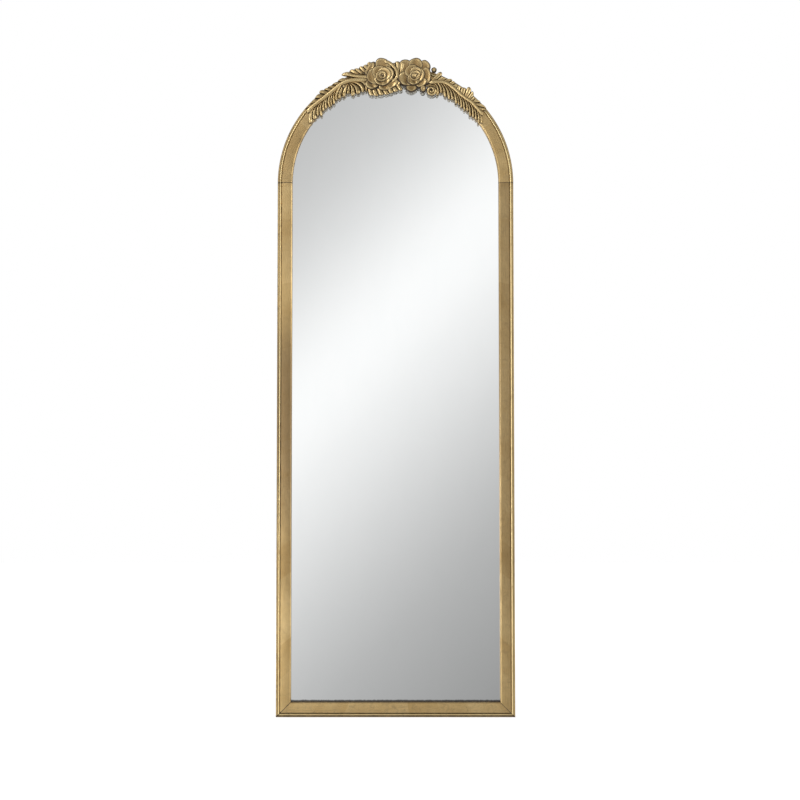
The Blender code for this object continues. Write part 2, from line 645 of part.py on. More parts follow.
def make_bumpers():
    """Rubber bumpers near the feet of the stiles and on the arch."""
    corner = BUMPER_THICKNESS - BUMPER_ROUND
    profile = [(0, BUMPER_THICKNESS)]
    profile += arc((BUMPER_RADIUS - BUMPER_ROUND, corner), (BUMPER_ROUND, BUMPER_ROUND), 90, 0, 2)
    profile += [(BUMPER_RADIUS, 0), (0, 0)]
    for side, hand in ((-1, "left"), (1, "right")):
        radius = ARCH_RADIUS - BAND_MIDDLE
        low = Vector((side * radius, SEAT_Y, LOW_BUMPER_HEIGHT))
        angle = math.radians(HIGH_BUMPER_ANGLE)
        across = side * radius * math.cos(angle)
        high = Vector((across, SEAT_Y, SPRING_HEIGHT + radius * math.sin(angle)))
        smooth(turned(f"{hand}_lower_bumper", profile, RUBBER, along(OUTWARD, low), BUMPER_STEPS))
        smooth(turned(f"{hand}_upper_bumper", profile, RUBBER, along(OUTWARD, high), BUMPER_STEPS))


def on_crest(degrees, share, rise=0):
    """A point of the crest: degrees from the crown, share of the arch radius, rise off its seat."""
    angle = math.radians(degrees)
    reach = ARCH_RADIUS * share
    return Vector((reach * math.sin(angle), CREST_SEAT_Y - rise, SPRING_HEIGHT + reach * math.cos(angle)))


def between(points, place):
    """A point part of the way along a list: its whole part names an entry, the rest goes on to the next."""
    first = max(0, min(math.floor(place), len(points) - 2))
    rest = place - first
    return [a + (b - a) * rest for a, b in zip(points[first], points[first + 1])]


def solid_tube(name, points, radii, collection, flatten=1):
    """A closed tube as a mesh, flattened towards its own middle height if asked."""
    item = bpy.data.objects.new(name, tube_curve(name, points, radii))
    bpy.context.scene.collection.objects.link(item)
    mesh = mesh_of_curve(item)
    middle = sum(point.y for point in points) / len(points)
    for vert in mesh.vertices:
        vert.co.y = middle + (vert.co.y - middle) * flatten
    mesh.shade_smooth()
    return place_object(name, mesh, collection=collection)


def leaf_column(rib, lobes, number):
    """A line from a leaf's rib to its edge: on a lobe's ridge at a whole number, in a valley at a half."""
    place, degrees, share = between(lobes, number)
    place = max(0, place)
    root = on_crest(*between(rib, place))
    ahead = on_crest(*between(rib, place + LOBE_LOOK_AHEAD_SHARE))
    tip = on_crest(degrees, share)
    elbow = root + (ahead - root).normalized() * (tip - root).length * LOBE_SWEEP_SHARE
    fullness = abs(math.cos(math.pi * number)) ** LOBE_ROUNDNESS
    column = []
    for way, ridge, valley in LEAF_ROW_SHARES:
        reach = way * (1 - LOBE_NOTCH_SHARE * (1 - fullness))
        point = root * (1 - reach) ** 2 + elbow * 2 * reach * (1 - reach) + tip * reach**2
        point.y -= LEAF_RISE * (valley + (ridge - valley) * fullness)
        column.append(point)
    return root - OUTWARD * LEAF_RISE, column


def leaf(name, rib, sides, collection):
    """A carved leaf: fluted lobes lofted from its rib to its edges on one or both sides, over a flat back."""
    ends = (len(rib) - 1, *rib[-1])
    columns = LOBE_COLUMNS * len(sides[0]) + 1
    bm = bmesh.new()
    grid = []
    for i in range(columns):
        number = i / LOBE_COLUMNS - 0.5
        root, line = leaf_column(rib, (*sides[0], ends), number)
        points = [root, *line]
        if len(sides) == 2:
            points = leaf_column(rib, (*sides[1], ends), number)[1][::-1] + points
        grid.append([bm.verts.new(point) for point in points])
    for lower, upper in zip(grid, grid[1:]):
        for i in range(len(lower) - 1):
            bm.faces.new((lower[i], lower[i + 1], upper[i + 1], upper[i]))
    rim = grid[0] + [line[-1] for line in grid[1:-1]] + grid[-1][::-1] + [line[0] for line in grid[-2:0:-1]]
    back = [bm.verts.new((vert.co.x, CREST_SEAT_Y + LEAF_FOOT, vert.co.z)) for vert in rim]
    for i in range(len(rim)):
        following = (i + 1) % len(rim)
        bm.faces.new((rim[i], rim[following], back[following], back[i]))
    bm.faces.new(back)
    mesh = mesh_from(bm, name)
    mesh.shade_smooth()
    return place_object(name, mesh, collection=collection)


def rib_tube(name, rib, collection, wide, narrow, rise, flatten=1):
    """A tube along a rib that tapers from its root to its tip."""
    points = [on_crest(degrees, share, rise) for degrees, share in rib]
    last = len(points) - 1
    radii = [wide + (narrow - wide) * i / last for i in range(last + 1)]
    return solid_tube(name, points, radii, collection, flatten)


def union_of(name, ground, pieces, finish, neighbours=()):
    """Joins a ground with the pieces on it, then cuts its flat back and the seats of its neighbours."""
    cutter_collection.objects.unlink(ground)
    part_collection.objects.link(ground)
    ground.name = name
    ground.hide_render = False
    ground.display_type = "TEXTURED"
    ground.data.materials.append(finish_material(name, finish))
    if pieces:
        joined_pieces[name] = pieces
    for neighbour in neighbours:
        cuts(neighbour, name)
    cuts(crest_bed, name)
    return ground


def make_crest_bed():
    """The flat plane on which the back of every crest piece is trimmed."""
    bm = bmesh.new()
    bmesh.ops.create_cube(bm, size=1)
    bmesh.ops.scale(bm, verts=bm.verts[:], vec=(FRAME_WIDTH, MOULDING_DEPTH, FRAME_WIDTH))
    place = (0, CREST_SEAT_Y + MOULDING_DEPTH / 2, FRAME_HEIGHT)
    bmesh.ops.translate(bm, verts=bm.verts[:], vec=place)
    return place_object("crest_bed", mesh_from(bm, "crest_bed"))


def petal_edge(layer, angle):
    """The reach of a rose layer in one direction, as a share of the rose's radius, and its fullness."""
    edge, cusp, petals, turn = layer[:4]
    along_petal = (petals * angle / math.tau + turn) % 1
    fullness = math.sin(math.pi * along_petal**PETAL_SKEW) ** PETAL_FULLNESS
    return edge * (1 - cusp * (1 - fullness)), fullness


def rose_rings():
    """The rings of a rose from its back edge to its heart: (reach, height) for every sector."""
    rings = []
    foot_share = 0
    for number, layer in enumerate(ROSE_LAYER_SHARES):
        rim, cup = layer[4:]
        following = ROSE_LAYER_SHARES[number + 1] if number + 1 < len(ROSE_LAYER_SHARES) else None
        foot, lip, hollow = [], [], []
        for sector in range(ROSE_SECTORS):
            angle = math.tau * sector / ROSE_SECTORS
            reach, fullness = petal_edge(layer, angle)
            inner = petal_edge(following, angle)[0] if following else 0
            foot.append((reach, foot_share))
            height = rim - ROSE_CUSP_DROP_SHARE * (1 - fullness) * rim
            lip.append((reach - ROSE_LIP_SHARE, height))
            start = reach - ROSE_LIP_SHARE
            hollow.append((start + (inner - start) * ROSE_CUP_REACH_SHARE, cup))
        rings += [foot, lip, hollow]
        foot_share = cup
    return rings


def make_rose_body(name, centre, spread, turn, finish=None, collection=None):
    """A rose: terraces of cupped petals, lofted ring by ring and closed by a flat back."""
    middle = on_crest(*centre)
    across, up = (ROSE_RADIUS * share for share in spread)
    bm = bmesh.new()
    rings = []
    for ring in rose_rings():
        verts = []
        for sector, (reach, height) in enumerate(ring):
            angle = math.tau * sector / ROSE_SECTORS + turn
            x, z = across * reach * math.cos(angle), up * reach * math.sin(angle)
            verts.append(bm.verts.new(middle + Vector((x, -ROSE_DEPTH * height, z))))
        rings.append(verts)
    for lower, upper in zip(rings, rings[1:]):
        for i in range(ROSE_SECTORS):
            following = (i + 1) % ROSE_SECTORS
            bm.faces.new((lower[i], lower[following], upper[following], upper[i]))
    heart = bm.verts.new(middle + Vector((0, -ROSE_DEPTH * ROSE_HEART_SHARE, 0)))
    for i in range(ROSE_SECTORS):
        bm.faces.new((rings[-1][i], rings[-1][(i + 1) % ROSE_SECTORS], heart))
    bm.faces.new(rings[0])
    return place_object(name, mesh_from(bm, name), finish, collection=collection)


def make_petal(name, petal, collection):
    """A broad cupped petal: a round profile with a raised rim, spread into an oval."""
    degrees, share, across, up = petal
    bm = bmesh.new()
    verts = [bm.verts.new((reach, -PETAL_DEPTH * rise, 0)) for reach, rise in PETAL_PROFILE_SHARES]
    edges = [bm.edges.new(pair) for pair in zip(verts, verts[1:])]
    bmesh.ops.spin(bm, geom=[*verts, *edges], cent=(0, 0, 0), axis=OUTWARD, angle=math.tau, steps=PETAL_STEPS)
    bmesh.ops.remove_doubles(bm, verts=bm.verts[:], dist=FIT_GAP / 10)
    bmesh.ops.scale(bm, verts=bm.verts[:], vec=(ROSE_RADIUS * across, 1, ROSE_RADIUS * up))
    bmesh.ops.translate(bm, verts=bm.verts[:], vec=on_crest(degrees, share))
    mesh = mesh_from(bm, name)
    mesh.shade_smooth()
    return place_object(name, mesh, collection=collection)


def rose_seat(name, centre, spread, turn, petals):
    """Cutters that clear a rose and its petals out of the leaves round it."""
    middle = on_crest(*centre)
    outline = []
    for sector in range(ROSE_SECTORS):
        angle = math.tau * sector / ROSE_SECTORS
        reach = petal_edge(ROSE_LAYER_SHARES[0], angle)[0]
        across = ROSE_RADIUS * spread[0] * reach + FIT_GAP
        up = ROSE_RADIUS * spread[1] * reach + FIT_GAP
        outline.append((across * math.cos(angle + turn), up * math.sin(angle + turn)))
    depth = 4 * ROSE_DEPTH
    mesh = flat_curve_mesh(name, outline, depth)
    seats = [place_object(name, mesh, matrix=Matrix.Translation(middle) @ FACING_FRONT)]
    for number, (degrees, share, across, up) in enumerate(petals, start=1):
        oval = arc((0, 0), (ROSE_RADIUS * across + FIT_GAP, ROSE_RADIUS * up + FIT_GAP), 0, 345, 23)
        mesh = flat_curve_mesh(f"{name}_{number}", oval, depth)
        place = Matrix.Translation(on_crest(degrees, share)) @ FACING_FRONT
        seats.append(place_object(f"{name}_{number}", mesh, matrix=place))
    return seats


def make_rose(name, centre, spread, turn, petals):
    """A rose with the broad petals behind it."""
    pieces = new_collection(name + "_pieces", cutter_collection)
    for number, petal in enumerate(petals, start=1):
        make_petal(f"{name}_petal_{number}", petal, pieces)
    body = make_rose_body(name, centre, spread, turn)
    return smooth(union_of(name, body, pieces, GILDED), 50)


def make_left_spray(neighbours):
    """The leaves to the left of the roses: a long acanthus leaf, a leaf above it and a scroll below."""
    pieces = new_collection("left_spray_pieces", cutter_collection)
    sides = (LEFT_UPPER_LOBE_SHARES, LEFT_LOWER_LOBE_SHARES)
    ground = leaf("left_spray_ground", LEFT_RIB_SHARES, sides, None)
    leaf("left_top_leaf", LEFT_TOP_LEAF_SHARES, (LEFT_TOP_LOBE_SHARES,), pieces)
    rib_tube("left_top_rib", LEFT_TOP_LEAF_SHARES, pieces, RIB_RADIUS, RIB_RADIUS * 0.8, RIB_RADIUS * 0.7)
    leaf("left_scroll_leaf", LEFT_SCROLL_SHARES, (LEFT_SCROLL_LOBE_SHARES,), pieces)
    rib_tube("left_scroll", LEFT_SCROLL_SHARES, pieces, RIB_RADIUS / 2, RIB_RADIUS, LEAF_RISE * 0.8)
    return smooth(union_of("left_spray", ground, pieces, GILDED, neighbours), 50)


def make_right_spray(neighbours):
    """The leaves to the right of the roses: a long acanthus leaf, a spiral scroll and a bud."""
    pieces = new_collection("right_spray_pieces", cutter_collection)
    sides = (RIGHT_UPPER_LOBE_SHARES, RIGHT_LOWER_LOBE_SHARES)
    ground = leaf("right_spray_ground", RIGHT_RIB_SHARES, sides, None)
    make_scroll("right_scroll", RIGHT_SCROLL_SHARES, pieces)
    rib_tube("right_bulb_stem", RIGHT_BULB_STEM_SHARES, pieces, RIB_RADIUS, RIB_RADIUS, LEAF_RISE / 2)
    make_petal("right_bulb", RIGHT_BULB_PETAL_SHARES, pieces)
    rib_tube("bud_stem", BUD_STEM_SHARES, pieces, RIB_RADIUS, RIB_RADIUS, LEAF_RISE / 2)
    make_petal("bud", BUD_PETAL_SHARES, pieces)
    return smooth(union_of("right_spray", ground, pieces, GILDED, neighbours), 50)


def make_scroll(name, centre, collection):
    """A spiral scroll that winds in from the leaf to its eye and rises a little on the way."""
    steps = 14
    sweep = 1.4 * math.tau
    start = math.radians(20)
    eye_share = 0.25
    middle = on_crest(*centre)
    points, radii = [], []
    for i in range(steps + 1):
        t = i / steps
        angle = start - sweep * t
        reach = SCROLL_RADIUS * (1 - (1 - eye_share) * t)
        rise = LEAF_RISE * (0.55 + 0.35 * t)
        points.append(middle + Vector((reach * math.cos(angle), -rise, reach * math.sin(angle))))
        radii.append(SCROLL_WIRE * (1 - 0.35 * t))
    return solid_tube(name, points, radii, collection)


def make_small_leaves(neighbours):
    """The scalloped leaf below the left rose and the fan leaf between the roses."""
    ground = leaf("lower_leaf", LOWER_LEAF_SHARES, (LOWER_LOBE_SHARES,), None)
    smooth(union_of("lower_leaf", ground, None, GILDED, neighbours), 50)
    pieces = new_collection("fan_leaf_pieces", cutter_collection)
    tip_radius = RIB_RADIUS * 1.6
    rise = LEAF_RISE * 0.5
    first, second = FAN_LOBE_SHARES
    ground = rib_tube("fan_lobe_1", first, None, RIB_RADIUS, tip_radius, rise, 0.8)
    rib_tube("fan_lobe_2", second, pieces, RIB_RADIUS, tip_radius, rise, 0.8)
    smooth(union_of("fan_leaf", ground, pieces, GILDED, neighbours), 50)


def make_crest():
    """Roses first, then the leaves cut to seat round them."""
    left_turn = 0.3
    right_turn = 1.1
    roses = (
        ("left_rose", LEFT_ROSE_SHARES, LEFT_ROSE_SPREAD_SHARES, left_turn, LEFT_BACK_PETAL_SHARES),
        ("right_rose", RIGHT_ROSE_SHARES, RIGHT_ROSE_SPREAD_SHARES, right_turn, RIGHT_BACK_PETAL_SHARES),
    )
    seats = []
    for name, centre, spread, turn, petals in roses:
        make_rose(name, centre, spread, turn, petals)
        seats += rose_seat(name + "_seat", centre, spread, turn, petals)
    make_small_leaves(seats)
    make_left_spray(seats)
    make_right_spray(seats)


def add_boolean(target, label, operation, collection):
    """A Boolean with every object of a collection."""
    boolean = bpy.data.objects[target].modifiers.new(label, "BOOLEAN")
    boolean.operation = operation
    boolean.operand_type = "COLLECTION"
    boolean.collection = collection
    boolean.solver = "MANIFOLD" if target in joined_pieces else "EXACT"


def join_and_cut():
    """Joins the crest pieces made of several forms, then takes each piece's cutters out of it."""
    for target, collection in joined_pieces.items():
        add_boolean(target, "Join", "UNION", collection)
    for target, collection in cutters_by_target.items():
        add_boolean(target, "Cuts", "DIFFERENCE", collection)


clear_scene()
part_collection = new_collection("Floor mirror", bpy.context.scene.collection)
cutter_collection = new_collection("Cutters", bpy.context.scene.collection)
crest_bed = make_crest_bed()
make_stile("left_stile", -1)
make_stile("right_stile", 1)
make_rail("bottom_rail")
make_arch_half("left_arch", -1)
make_arch_half("right_arch", 1)
make_panels()
make_points()
make_joinery()
make_braces()
make_mending_plates()
make_hangers()
make_bumpers()
make_crest()
join_and_cut()
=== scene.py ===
import json
import math

import bmesh
import bpy
import numpy as np
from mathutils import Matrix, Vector


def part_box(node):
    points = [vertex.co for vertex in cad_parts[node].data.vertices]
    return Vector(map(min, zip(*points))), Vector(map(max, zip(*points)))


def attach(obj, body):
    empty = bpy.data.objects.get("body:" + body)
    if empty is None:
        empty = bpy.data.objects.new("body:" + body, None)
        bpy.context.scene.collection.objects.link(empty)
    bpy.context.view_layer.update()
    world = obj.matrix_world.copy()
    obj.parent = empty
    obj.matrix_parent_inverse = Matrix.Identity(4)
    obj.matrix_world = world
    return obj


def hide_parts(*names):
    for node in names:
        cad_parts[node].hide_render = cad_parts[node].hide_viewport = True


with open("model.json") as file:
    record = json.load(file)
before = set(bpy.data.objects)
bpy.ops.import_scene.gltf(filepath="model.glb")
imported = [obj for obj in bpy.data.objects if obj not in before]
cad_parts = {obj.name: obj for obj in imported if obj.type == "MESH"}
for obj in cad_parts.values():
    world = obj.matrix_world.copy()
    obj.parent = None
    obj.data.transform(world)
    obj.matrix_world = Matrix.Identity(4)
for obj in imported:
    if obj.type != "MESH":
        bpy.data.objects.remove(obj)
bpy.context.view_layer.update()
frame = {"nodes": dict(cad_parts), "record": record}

scene = bpy.context.scene
nodes = frame["nodes"]
print("frame loaded:", len(nodes), "nodes")

# Places that every piece follows, read from the frame
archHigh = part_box("right_arch")[1]
outerRadius = archHigh.x
springZ = archHigh.z - outerRadius
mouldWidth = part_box("bottom_rail")[1].z
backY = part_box("right_stile")[1].y
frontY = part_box("right_stile")[0].y
mouldDepth = backY - frontY
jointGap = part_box("right_arch")[0].z - springZ
seatY = frontY - 2 * jointGap  # the crest is seated here, on the front of the moulding


# Shader helpers

bumpReach = 0.0004  # metres from the bottom to the top of a finish's fine relief


def putIn(tree, socket, value):
    # links a socket into an input, or sets the input to a plain value
    if isinstance(value, bpy.types.NodeSocket):
        tree.links.new(value, socket)
    elif isinstance(value, (tuple, list)) and len(value) == 3 and socket.type == "RGBA":
        socket.default_value = (*value, 1)
    else:
        socket.default_value = value


def addNode(tree, kind, inputs=None, **settings):
    # a node with its settings, its inputs linked or set
    node = tree.nodes.new(kind)
    for name, value in settings.items():
        setattr(node, name, value)
    for key, value in (inputs or {}).items():
        putIn(tree, node.inputs[key], value)
    return node


def sums(tree, operation, *values, clamp=False):
    # one step of arithmetic on sockets or plain numbers
    inputs = dict(enumerate(values))
    return addNode(tree, "ShaderNodeMath", inputs, operation=operation, use_clamp=clamp).outputs[0]


def times(tree, first, second, clamp=False):
    # first times second
    return sums(tree, "MULTIPLY", first, second, clamp=clamp)


def weighted(tree, start, *terms):
    # start, plus the value of each term times its share
    for value, share in terms:
        start = sums(tree, "MULTIPLY_ADD", value, share, start)
    return start


def noise(tree, vector, scale, detail=3, roughness=0.55, distortion=0):
    # soft noise from 0 to 1, scale to the metre
    inputs = {"Vector": vector, "Scale": scale, "Detail": detail, "Roughness": roughness,
              "Distortion": distortion}
    return addNode(tree, "ShaderNodeTexNoise", inputs).outputs["Fac"]


def spread(tree, value, low, high, toLow=0.0, toHigh=1.0, kind="SMOOTHSTEP"):
    # carries the range from low to high over to the one from toLow to toHigh
    inputs = {"Value": value, "From Min": low, "From Max": high, "To Min": toLow, "To Max": toHigh}
    return addNode(tree, "ShaderNodeMapRange", inputs, interpolation_type=kind).outputs["Result"]


def blendColours(tree, factor, first, second, mode="MIX"):
    # first at factor 0, second (or, with MULTIPLY, first times second) at factor 1
    node = addNode(tree, "ShaderNodeMix", data_type="RGBA", blend_type=mode)
    for index, value in ((0, factor), (6, first), (7, second)):
        putIn(tree, node.inputs[index], value)
    return node.outputs[2]


def stretched(tree, vector, scale):
    # the vector times a scale for each axis
    return addNode(tree, "ShaderNodeMapping", {"Vector": vector, "Scale": scale}).outputs["Vector"]


def parts(tree, vector):
    # the vector's X, Y and Z
    return addNode(tree, "ShaderNodeSeparateXYZ", {"Vector": vector}).outputs


def attribute(tree, name):
    # a number kept at each point of the mesh
    return addNode(tree, "ShaderNodeAttribute", attribute_name=name).outputs["Fac"]


def setRamp(ramp, levels):
    # a smooth ramp of greys, each given as (place, level)
    ramp.interpolation = "B_SPLINE"
    while len(ramp.elements) < len(levels):
        ramp.elements.new(0.5)
    for element, (place, level) in zip(ramp.elements, levels):
        element.position = place
        element.color = (level, level, level, 1)


def newGroup(name, vectors, numbers, results):
    # a node group that takes vectors and numbers, and gives a colour and further numbers
    group = bpy.data.node_groups.new(name, "ShaderNodeTree")
    for labels, way, kind in ((vectors, "INPUT", "Vector"), (numbers, "INPUT", "Float"),
                              (("Color",), "OUTPUT", "Color"), (results, "OUTPUT", "Float")):
        for label in labels:
            group.interface.new_socket(label, in_out=way, socket_type="NodeSocket" + kind)
    return group, group.nodes.new("NodeGroupInput").outputs, group.nodes.new("NodeGroupOutput").inputs


def useGroup(tree, group, **values):
    # a group put into a tree, its sockets filled by name
    node = addNode(tree, "ShaderNodeGroup", node_tree=group)
    for label, value in values.items():
        putIn(tree, node.inputs[label.capitalize()], value)
    return node.outputs


def newMaterial(name):
    # a material with its shader and the object's own coordinates
    material = bpy.data.materials.new(name)
    material.use_nodes = True
    tree = material.node_tree
    place = addNode(tree, "ShaderNodeTexCoord").outputs["Object"]
    return material, tree, tree.nodes["Principled BSDF"], place


def finishShader(tree, shader, results, bump=0.0):
    # joins colour, metallic, roughness and height to the shader
    for label, target in (("Color", "Base Color"), ("Metallic", "Metallic"), ("Roughness", "Roughness")):
        if label in results:
            putIn(tree, shader.inputs[target], results[label])
    if "Height" in results:
        inputs = {"Height": results["Height"], "Strength": bump, "Distance": bumpReach}
        putIn(tree, shader.inputs["Normal"], addNode(tree, "ShaderNodeBump", inputs).outputs["Normal"])


# Gold leaf over red clay, toned down with a brown glaze and painted shade

gilding = dict(
    deepGold=(0.50, 0.315, 0.112),
    paleGold=(0.79, 0.585, 0.285),
    # worn, brighter gold on the ridges: real wear, and a painted highlight
    rubbedGold=(0.99, 0.81, 0.43),
    redClay=(0.20, 0.065, 0.025),
    # the dark brown of real glaze, also used as painted shade in the hollows
    glazeAndShade=(0.044, 0.027, 0.012),
    washTone=(0.36, 0.32, 0.33),  # what the brown wash and painted shade leave of the gold where they are thickest
    sheetLength=0.085,  # leaf is laid in squares of this size
    cloudScale=16.0, patchScale=75.0, mottleScale=330.0,
    streakScale=(620.0, 26.0, 1.0), hairScale=(2200.0, 60.0, 1.0),
    backStain=0.45,
)


def goldLeafGroup():
    # leaf tone by sheet, brushed streaks along the piece, glaze and painted shade in the hollows, rubbed
    # edges with a painted highlight
    group, given, out = newGroup("goldLeaf", ("Flow", "Place"),
                                 ("Hollow", "Ridge", "Tarnish", "Streaks", "Rub", "Wash"),
                                 ("Metallic", "Roughness", "Height"))
    g = gilding
    flow, place, ridge, tarnish = (given[label] for label in ("Flow", "Place", "Ridge", "Tarnish"))
    clouds = noise(group, place, g["cloudScale"], 4, 0.6)
    mottle = noise(group, place, g["mottleScale"], 4, 0.7)
    patches = noise(group, place, g["patchScale"], 4, 0.62, 0.6)
    streaks = noise(group, stretched(group, flow, g["streakScale"]), 1, 5, 0.65)
    hairs = noise(group, stretched(group, flow, g["hairScale"]), 1, 3, 0.6)
    sheet = sums(group, "FLOOR", sums(group, "DIVIDE", parts(group, flow)["Y"], g["sheetLength"]))
    sheetTone = addNode(group, "ShaderNodeTexWhiteNoise", {"W": sheet}, noise_dimensions="1D").outputs[0]

    tone = weighted(group, 0.0, (clouds, 0.7), (sheetTone, 0.22))
    gold = blendColours(group, spread(group, tone, 0.08, 0.92), g["deepGold"], g["paleGold"])

    brushed = times(group, spread(group, streaks, 0.42, 0.75), given["Streaks"])
    stained = times(group, spread(group, patches, 0.44, 0.72), tarnish)
    dusted = times(group, spread(group, mottle, 0.50, 0.72), times(group, tarnish, 0.8))
    # painted shade: the hollow mark darkens creases and recesses where shade falls, on top of real glaze
    ragged = weighted(group, given["Hollow"], (patches, 0.7), (0.5, -0.7))
    inHollow = spread(group, ragged, 0.18, 0.72)
    glazeAndShade = sums(group, "MAXIMUM", inHollow, sums(group, "MAXIMUM", brushed, stained))
    glazeAndShade = sums(group, "MAXIMUM", glazeAndShade, dusted, clamp=True)

    # rubbed edges: worn gilding with glaze wiped off, and a painted highlight of brighter gold along the
    # ridges
    rubbing = times(group, ridge, spread(group, patches, 0.12, 0.52))
    rubbing = times(group, rubbing, given["Rub"], clamp=True)
    glazeAndShade = times(group, glazeAndShade, weighted(group, 1.0, (rubbing, -0.85)))
    clay = times(group, spread(group, hairs, 0.60, 0.68), spread(group, patches, 0.52, 0.66))
    clay = times(group, clay, weighted(group, 0.15, (ridge, 0.5)))

    # the wash: brown toning, and painted shade that darkens the gold
    toned = blendColours(group, 1.0, gold, g["washTone"], "MULTIPLY")
    gold = blendColours(group, given["Wash"], gold, toned)
    colour = blendColours(group, rubbing, gold, g["rubbedGold"])
    colour = blendColours(group, clay, colour, g["redClay"])
    putIn(group, out["Color"], blendColours(group, glazeAndShade, colour, g["glazeAndShade"]))
    dull = sums(group, "MAXIMUM", glazeAndShade, clay)
    putIn(group, out["Metallic"], weighted(group, 0.96, (dull, -0.80)))
    putIn(group, out["Roughness"], weighted(group, 0.27, (dull, 0.25), (mottle, 0.16)))
    putIn(group, out["Height"], weighted(group, 0.0, (mottle, 0.25), (hairs, 0.30), (dull, -0.35)))
    return group


def woodGroup():
    # pine with its grain along the flow: dark late wood, pale early wood and short pores
    group, given, out = newGroup("pineGrain", ("Flow",), ("Stain",), ("Roughness", "Height"))
    bent = noise(group, stretched(group, given["Flow"], (30, 2.2, 1)), 1, 3)
    lines = weighted(group, 0.0, (parts(group, given["Flow"])["X"], 260.0), (bent, 9.0))
    rings = spread(group, sums(group, "PINGPONG", lines, 0.5), 0.0, 0.5)
    pores = noise(group, stretched(group, given["Flow"], (2400, 90, 1)), 1, 3)
    early = blendColours(group, rings, (0.30, 0.17, 0.075), (0.50, 0.33, 0.17))
    marked = blendColours(group, spread(group, pores, 0.55, 0.75, 0.0, 0.5), early, (0.12, 0.06, 0.03))
    putIn(group, out["Color"], blendColours(group, given["Stain"], marked, (0.11, 0.055, 0.028)))
    putIn(group, out["Roughness"], spread(group, pores, 0.3, 0.8, 0.55, 0.8))
    putIn(group, out["Height"], weighted(group, 0.0, (rings, 0.4), (pores, -1.0)))
    return group


def gessoGroup():
    # chalk ground left bare on the back of the carving: brush marks, dust and a few brown runs
    group, given, out = newGroup("gessoGround", ("Flow",), ("Stain",), ("Roughness", "Height"))
    marks = noise(group, stretched(group, given["Flow"], (900, 120, 1)), 1, 4)
    dust = noise(group, given["Flow"], 160, 4, 0.65)
    chalk = blendColours(group, dust, (0.72, 0.69, 0.62), (0.86, 0.84, 0.79))
    runs = times(group, spread(group, marks, 0.55, 0.75), given["Stain"])
    putIn(group, out["Color"], blendColours(group, runs, chalk, (0.42, 0.31, 0.20)))
    putIn(group, out["Roughness"], spread(group, dust, 0.3, 0.8, 0.70, 0.90))
    putIn(group, out["Height"], marks)
    return group


goldLeaf = goldLeafGroup()
pineGrain = woodGroup()
gessoGround = gessoGroup()


def washAlong(tree, place, wash):
    # how thick the brown wash and painted shade lie: a ramp over the share of the frame's height, with ragged
    # edges
    high = sums(tree, "DIVIDE", parts(tree, place)["Z"], springZ + outerRadius)
    ragged = weighted(tree, high, (noise(tree, place, 7, 4), 0.10), (0.5, -0.10))
    node = addNode(tree, "ShaderNodeValToRGB", {"Fac": ragged})
    setRamp(node.color_ramp, wash)
    return node.outputs["Color"]


def gildedMaterial(name, tarnish, streaks, rub, wash, hollowGlazeShade=1.0, bump=0.35, ground=pineGrain):
    # gold leaf on the carved side and a bare ground on the back, told apart by the piece's own attribute.
    # The glaze and painted shade in the hollows are their depth times the piece's own share
    material, tree, shader, place = newMaterial(name)
    flow = addNode(tree, "ShaderNodeUVMap", uv_map="flow").outputs["UV"]
    hollow, ridge, bare = (attribute(tree, label) for label in ("hollow", "ridge", "bare"))
    if isinstance(wash, tuple):
        wash = washAlong(tree, place, wash)
    leaf = useGroup(tree, goldLeaf, flow=flow, place=place, hollow=times(tree, hollow, hollowGlazeShade), ridge=ridge,
                    tarnish=tarnish, streaks=streaks, rub=rub, wash=wash)
    back = useGroup(tree, ground, flow=flow, stain=gilding["backStain"])
    edge = weighted(tree, bare, (noise(tree, place, 90), 0.5), (0.5, -0.5))
    bare = times(tree, spread(tree, edge, 0.35, 0.60), spread(tree, bare, 0.02, 0.10))
    results = {label: addNode(tree, "ShaderNodeMix", {0: bare, 2: leaf[label], 3: back[label]}).outputs[0]
               for label in ("Roughness", "Height")}
    results["Color"] = blendColours(tree, bare, leaf["Color"], back["Color"])
    results["Metallic"] = times(tree, leaf["Metallic"], weighted(tree, 1.0, (bare, -1.0)))
    finishShader(tree, shader, results, bump)
    return material


# Surfaces are worked out as grids and put into one mesh for each piece

sharpAngle = math.radians(38)
shellGap, pieceGap = 0.00006, 0.00001  # bare backs are set this far apart, so that no two share a plane


def gridFaces(rows, columns, closed=False):
    # corner numbers of the quads of a grid, whose last column may join its first
    number = np.arange(rows * columns).reshape(rows, columns)
    following = np.roll(number, -1, axis=1) if closed else number[:, 1:]
    here = number if closed else number[:, :-1]
    return np.stack([here[:-1], following[:-1], following[1:], here[1:]], axis=-1).reshape(-1, 4)


def shell(points, faces, flow, hollow, ridge, bare):
    # one closed surface: points, faces and what its finish follows at each point
    return dict(points=points, faces=faces, flow=flow, hollow=hollow.ravel(), ridge=ridge.ravel(),
                bare=bare.ravel())


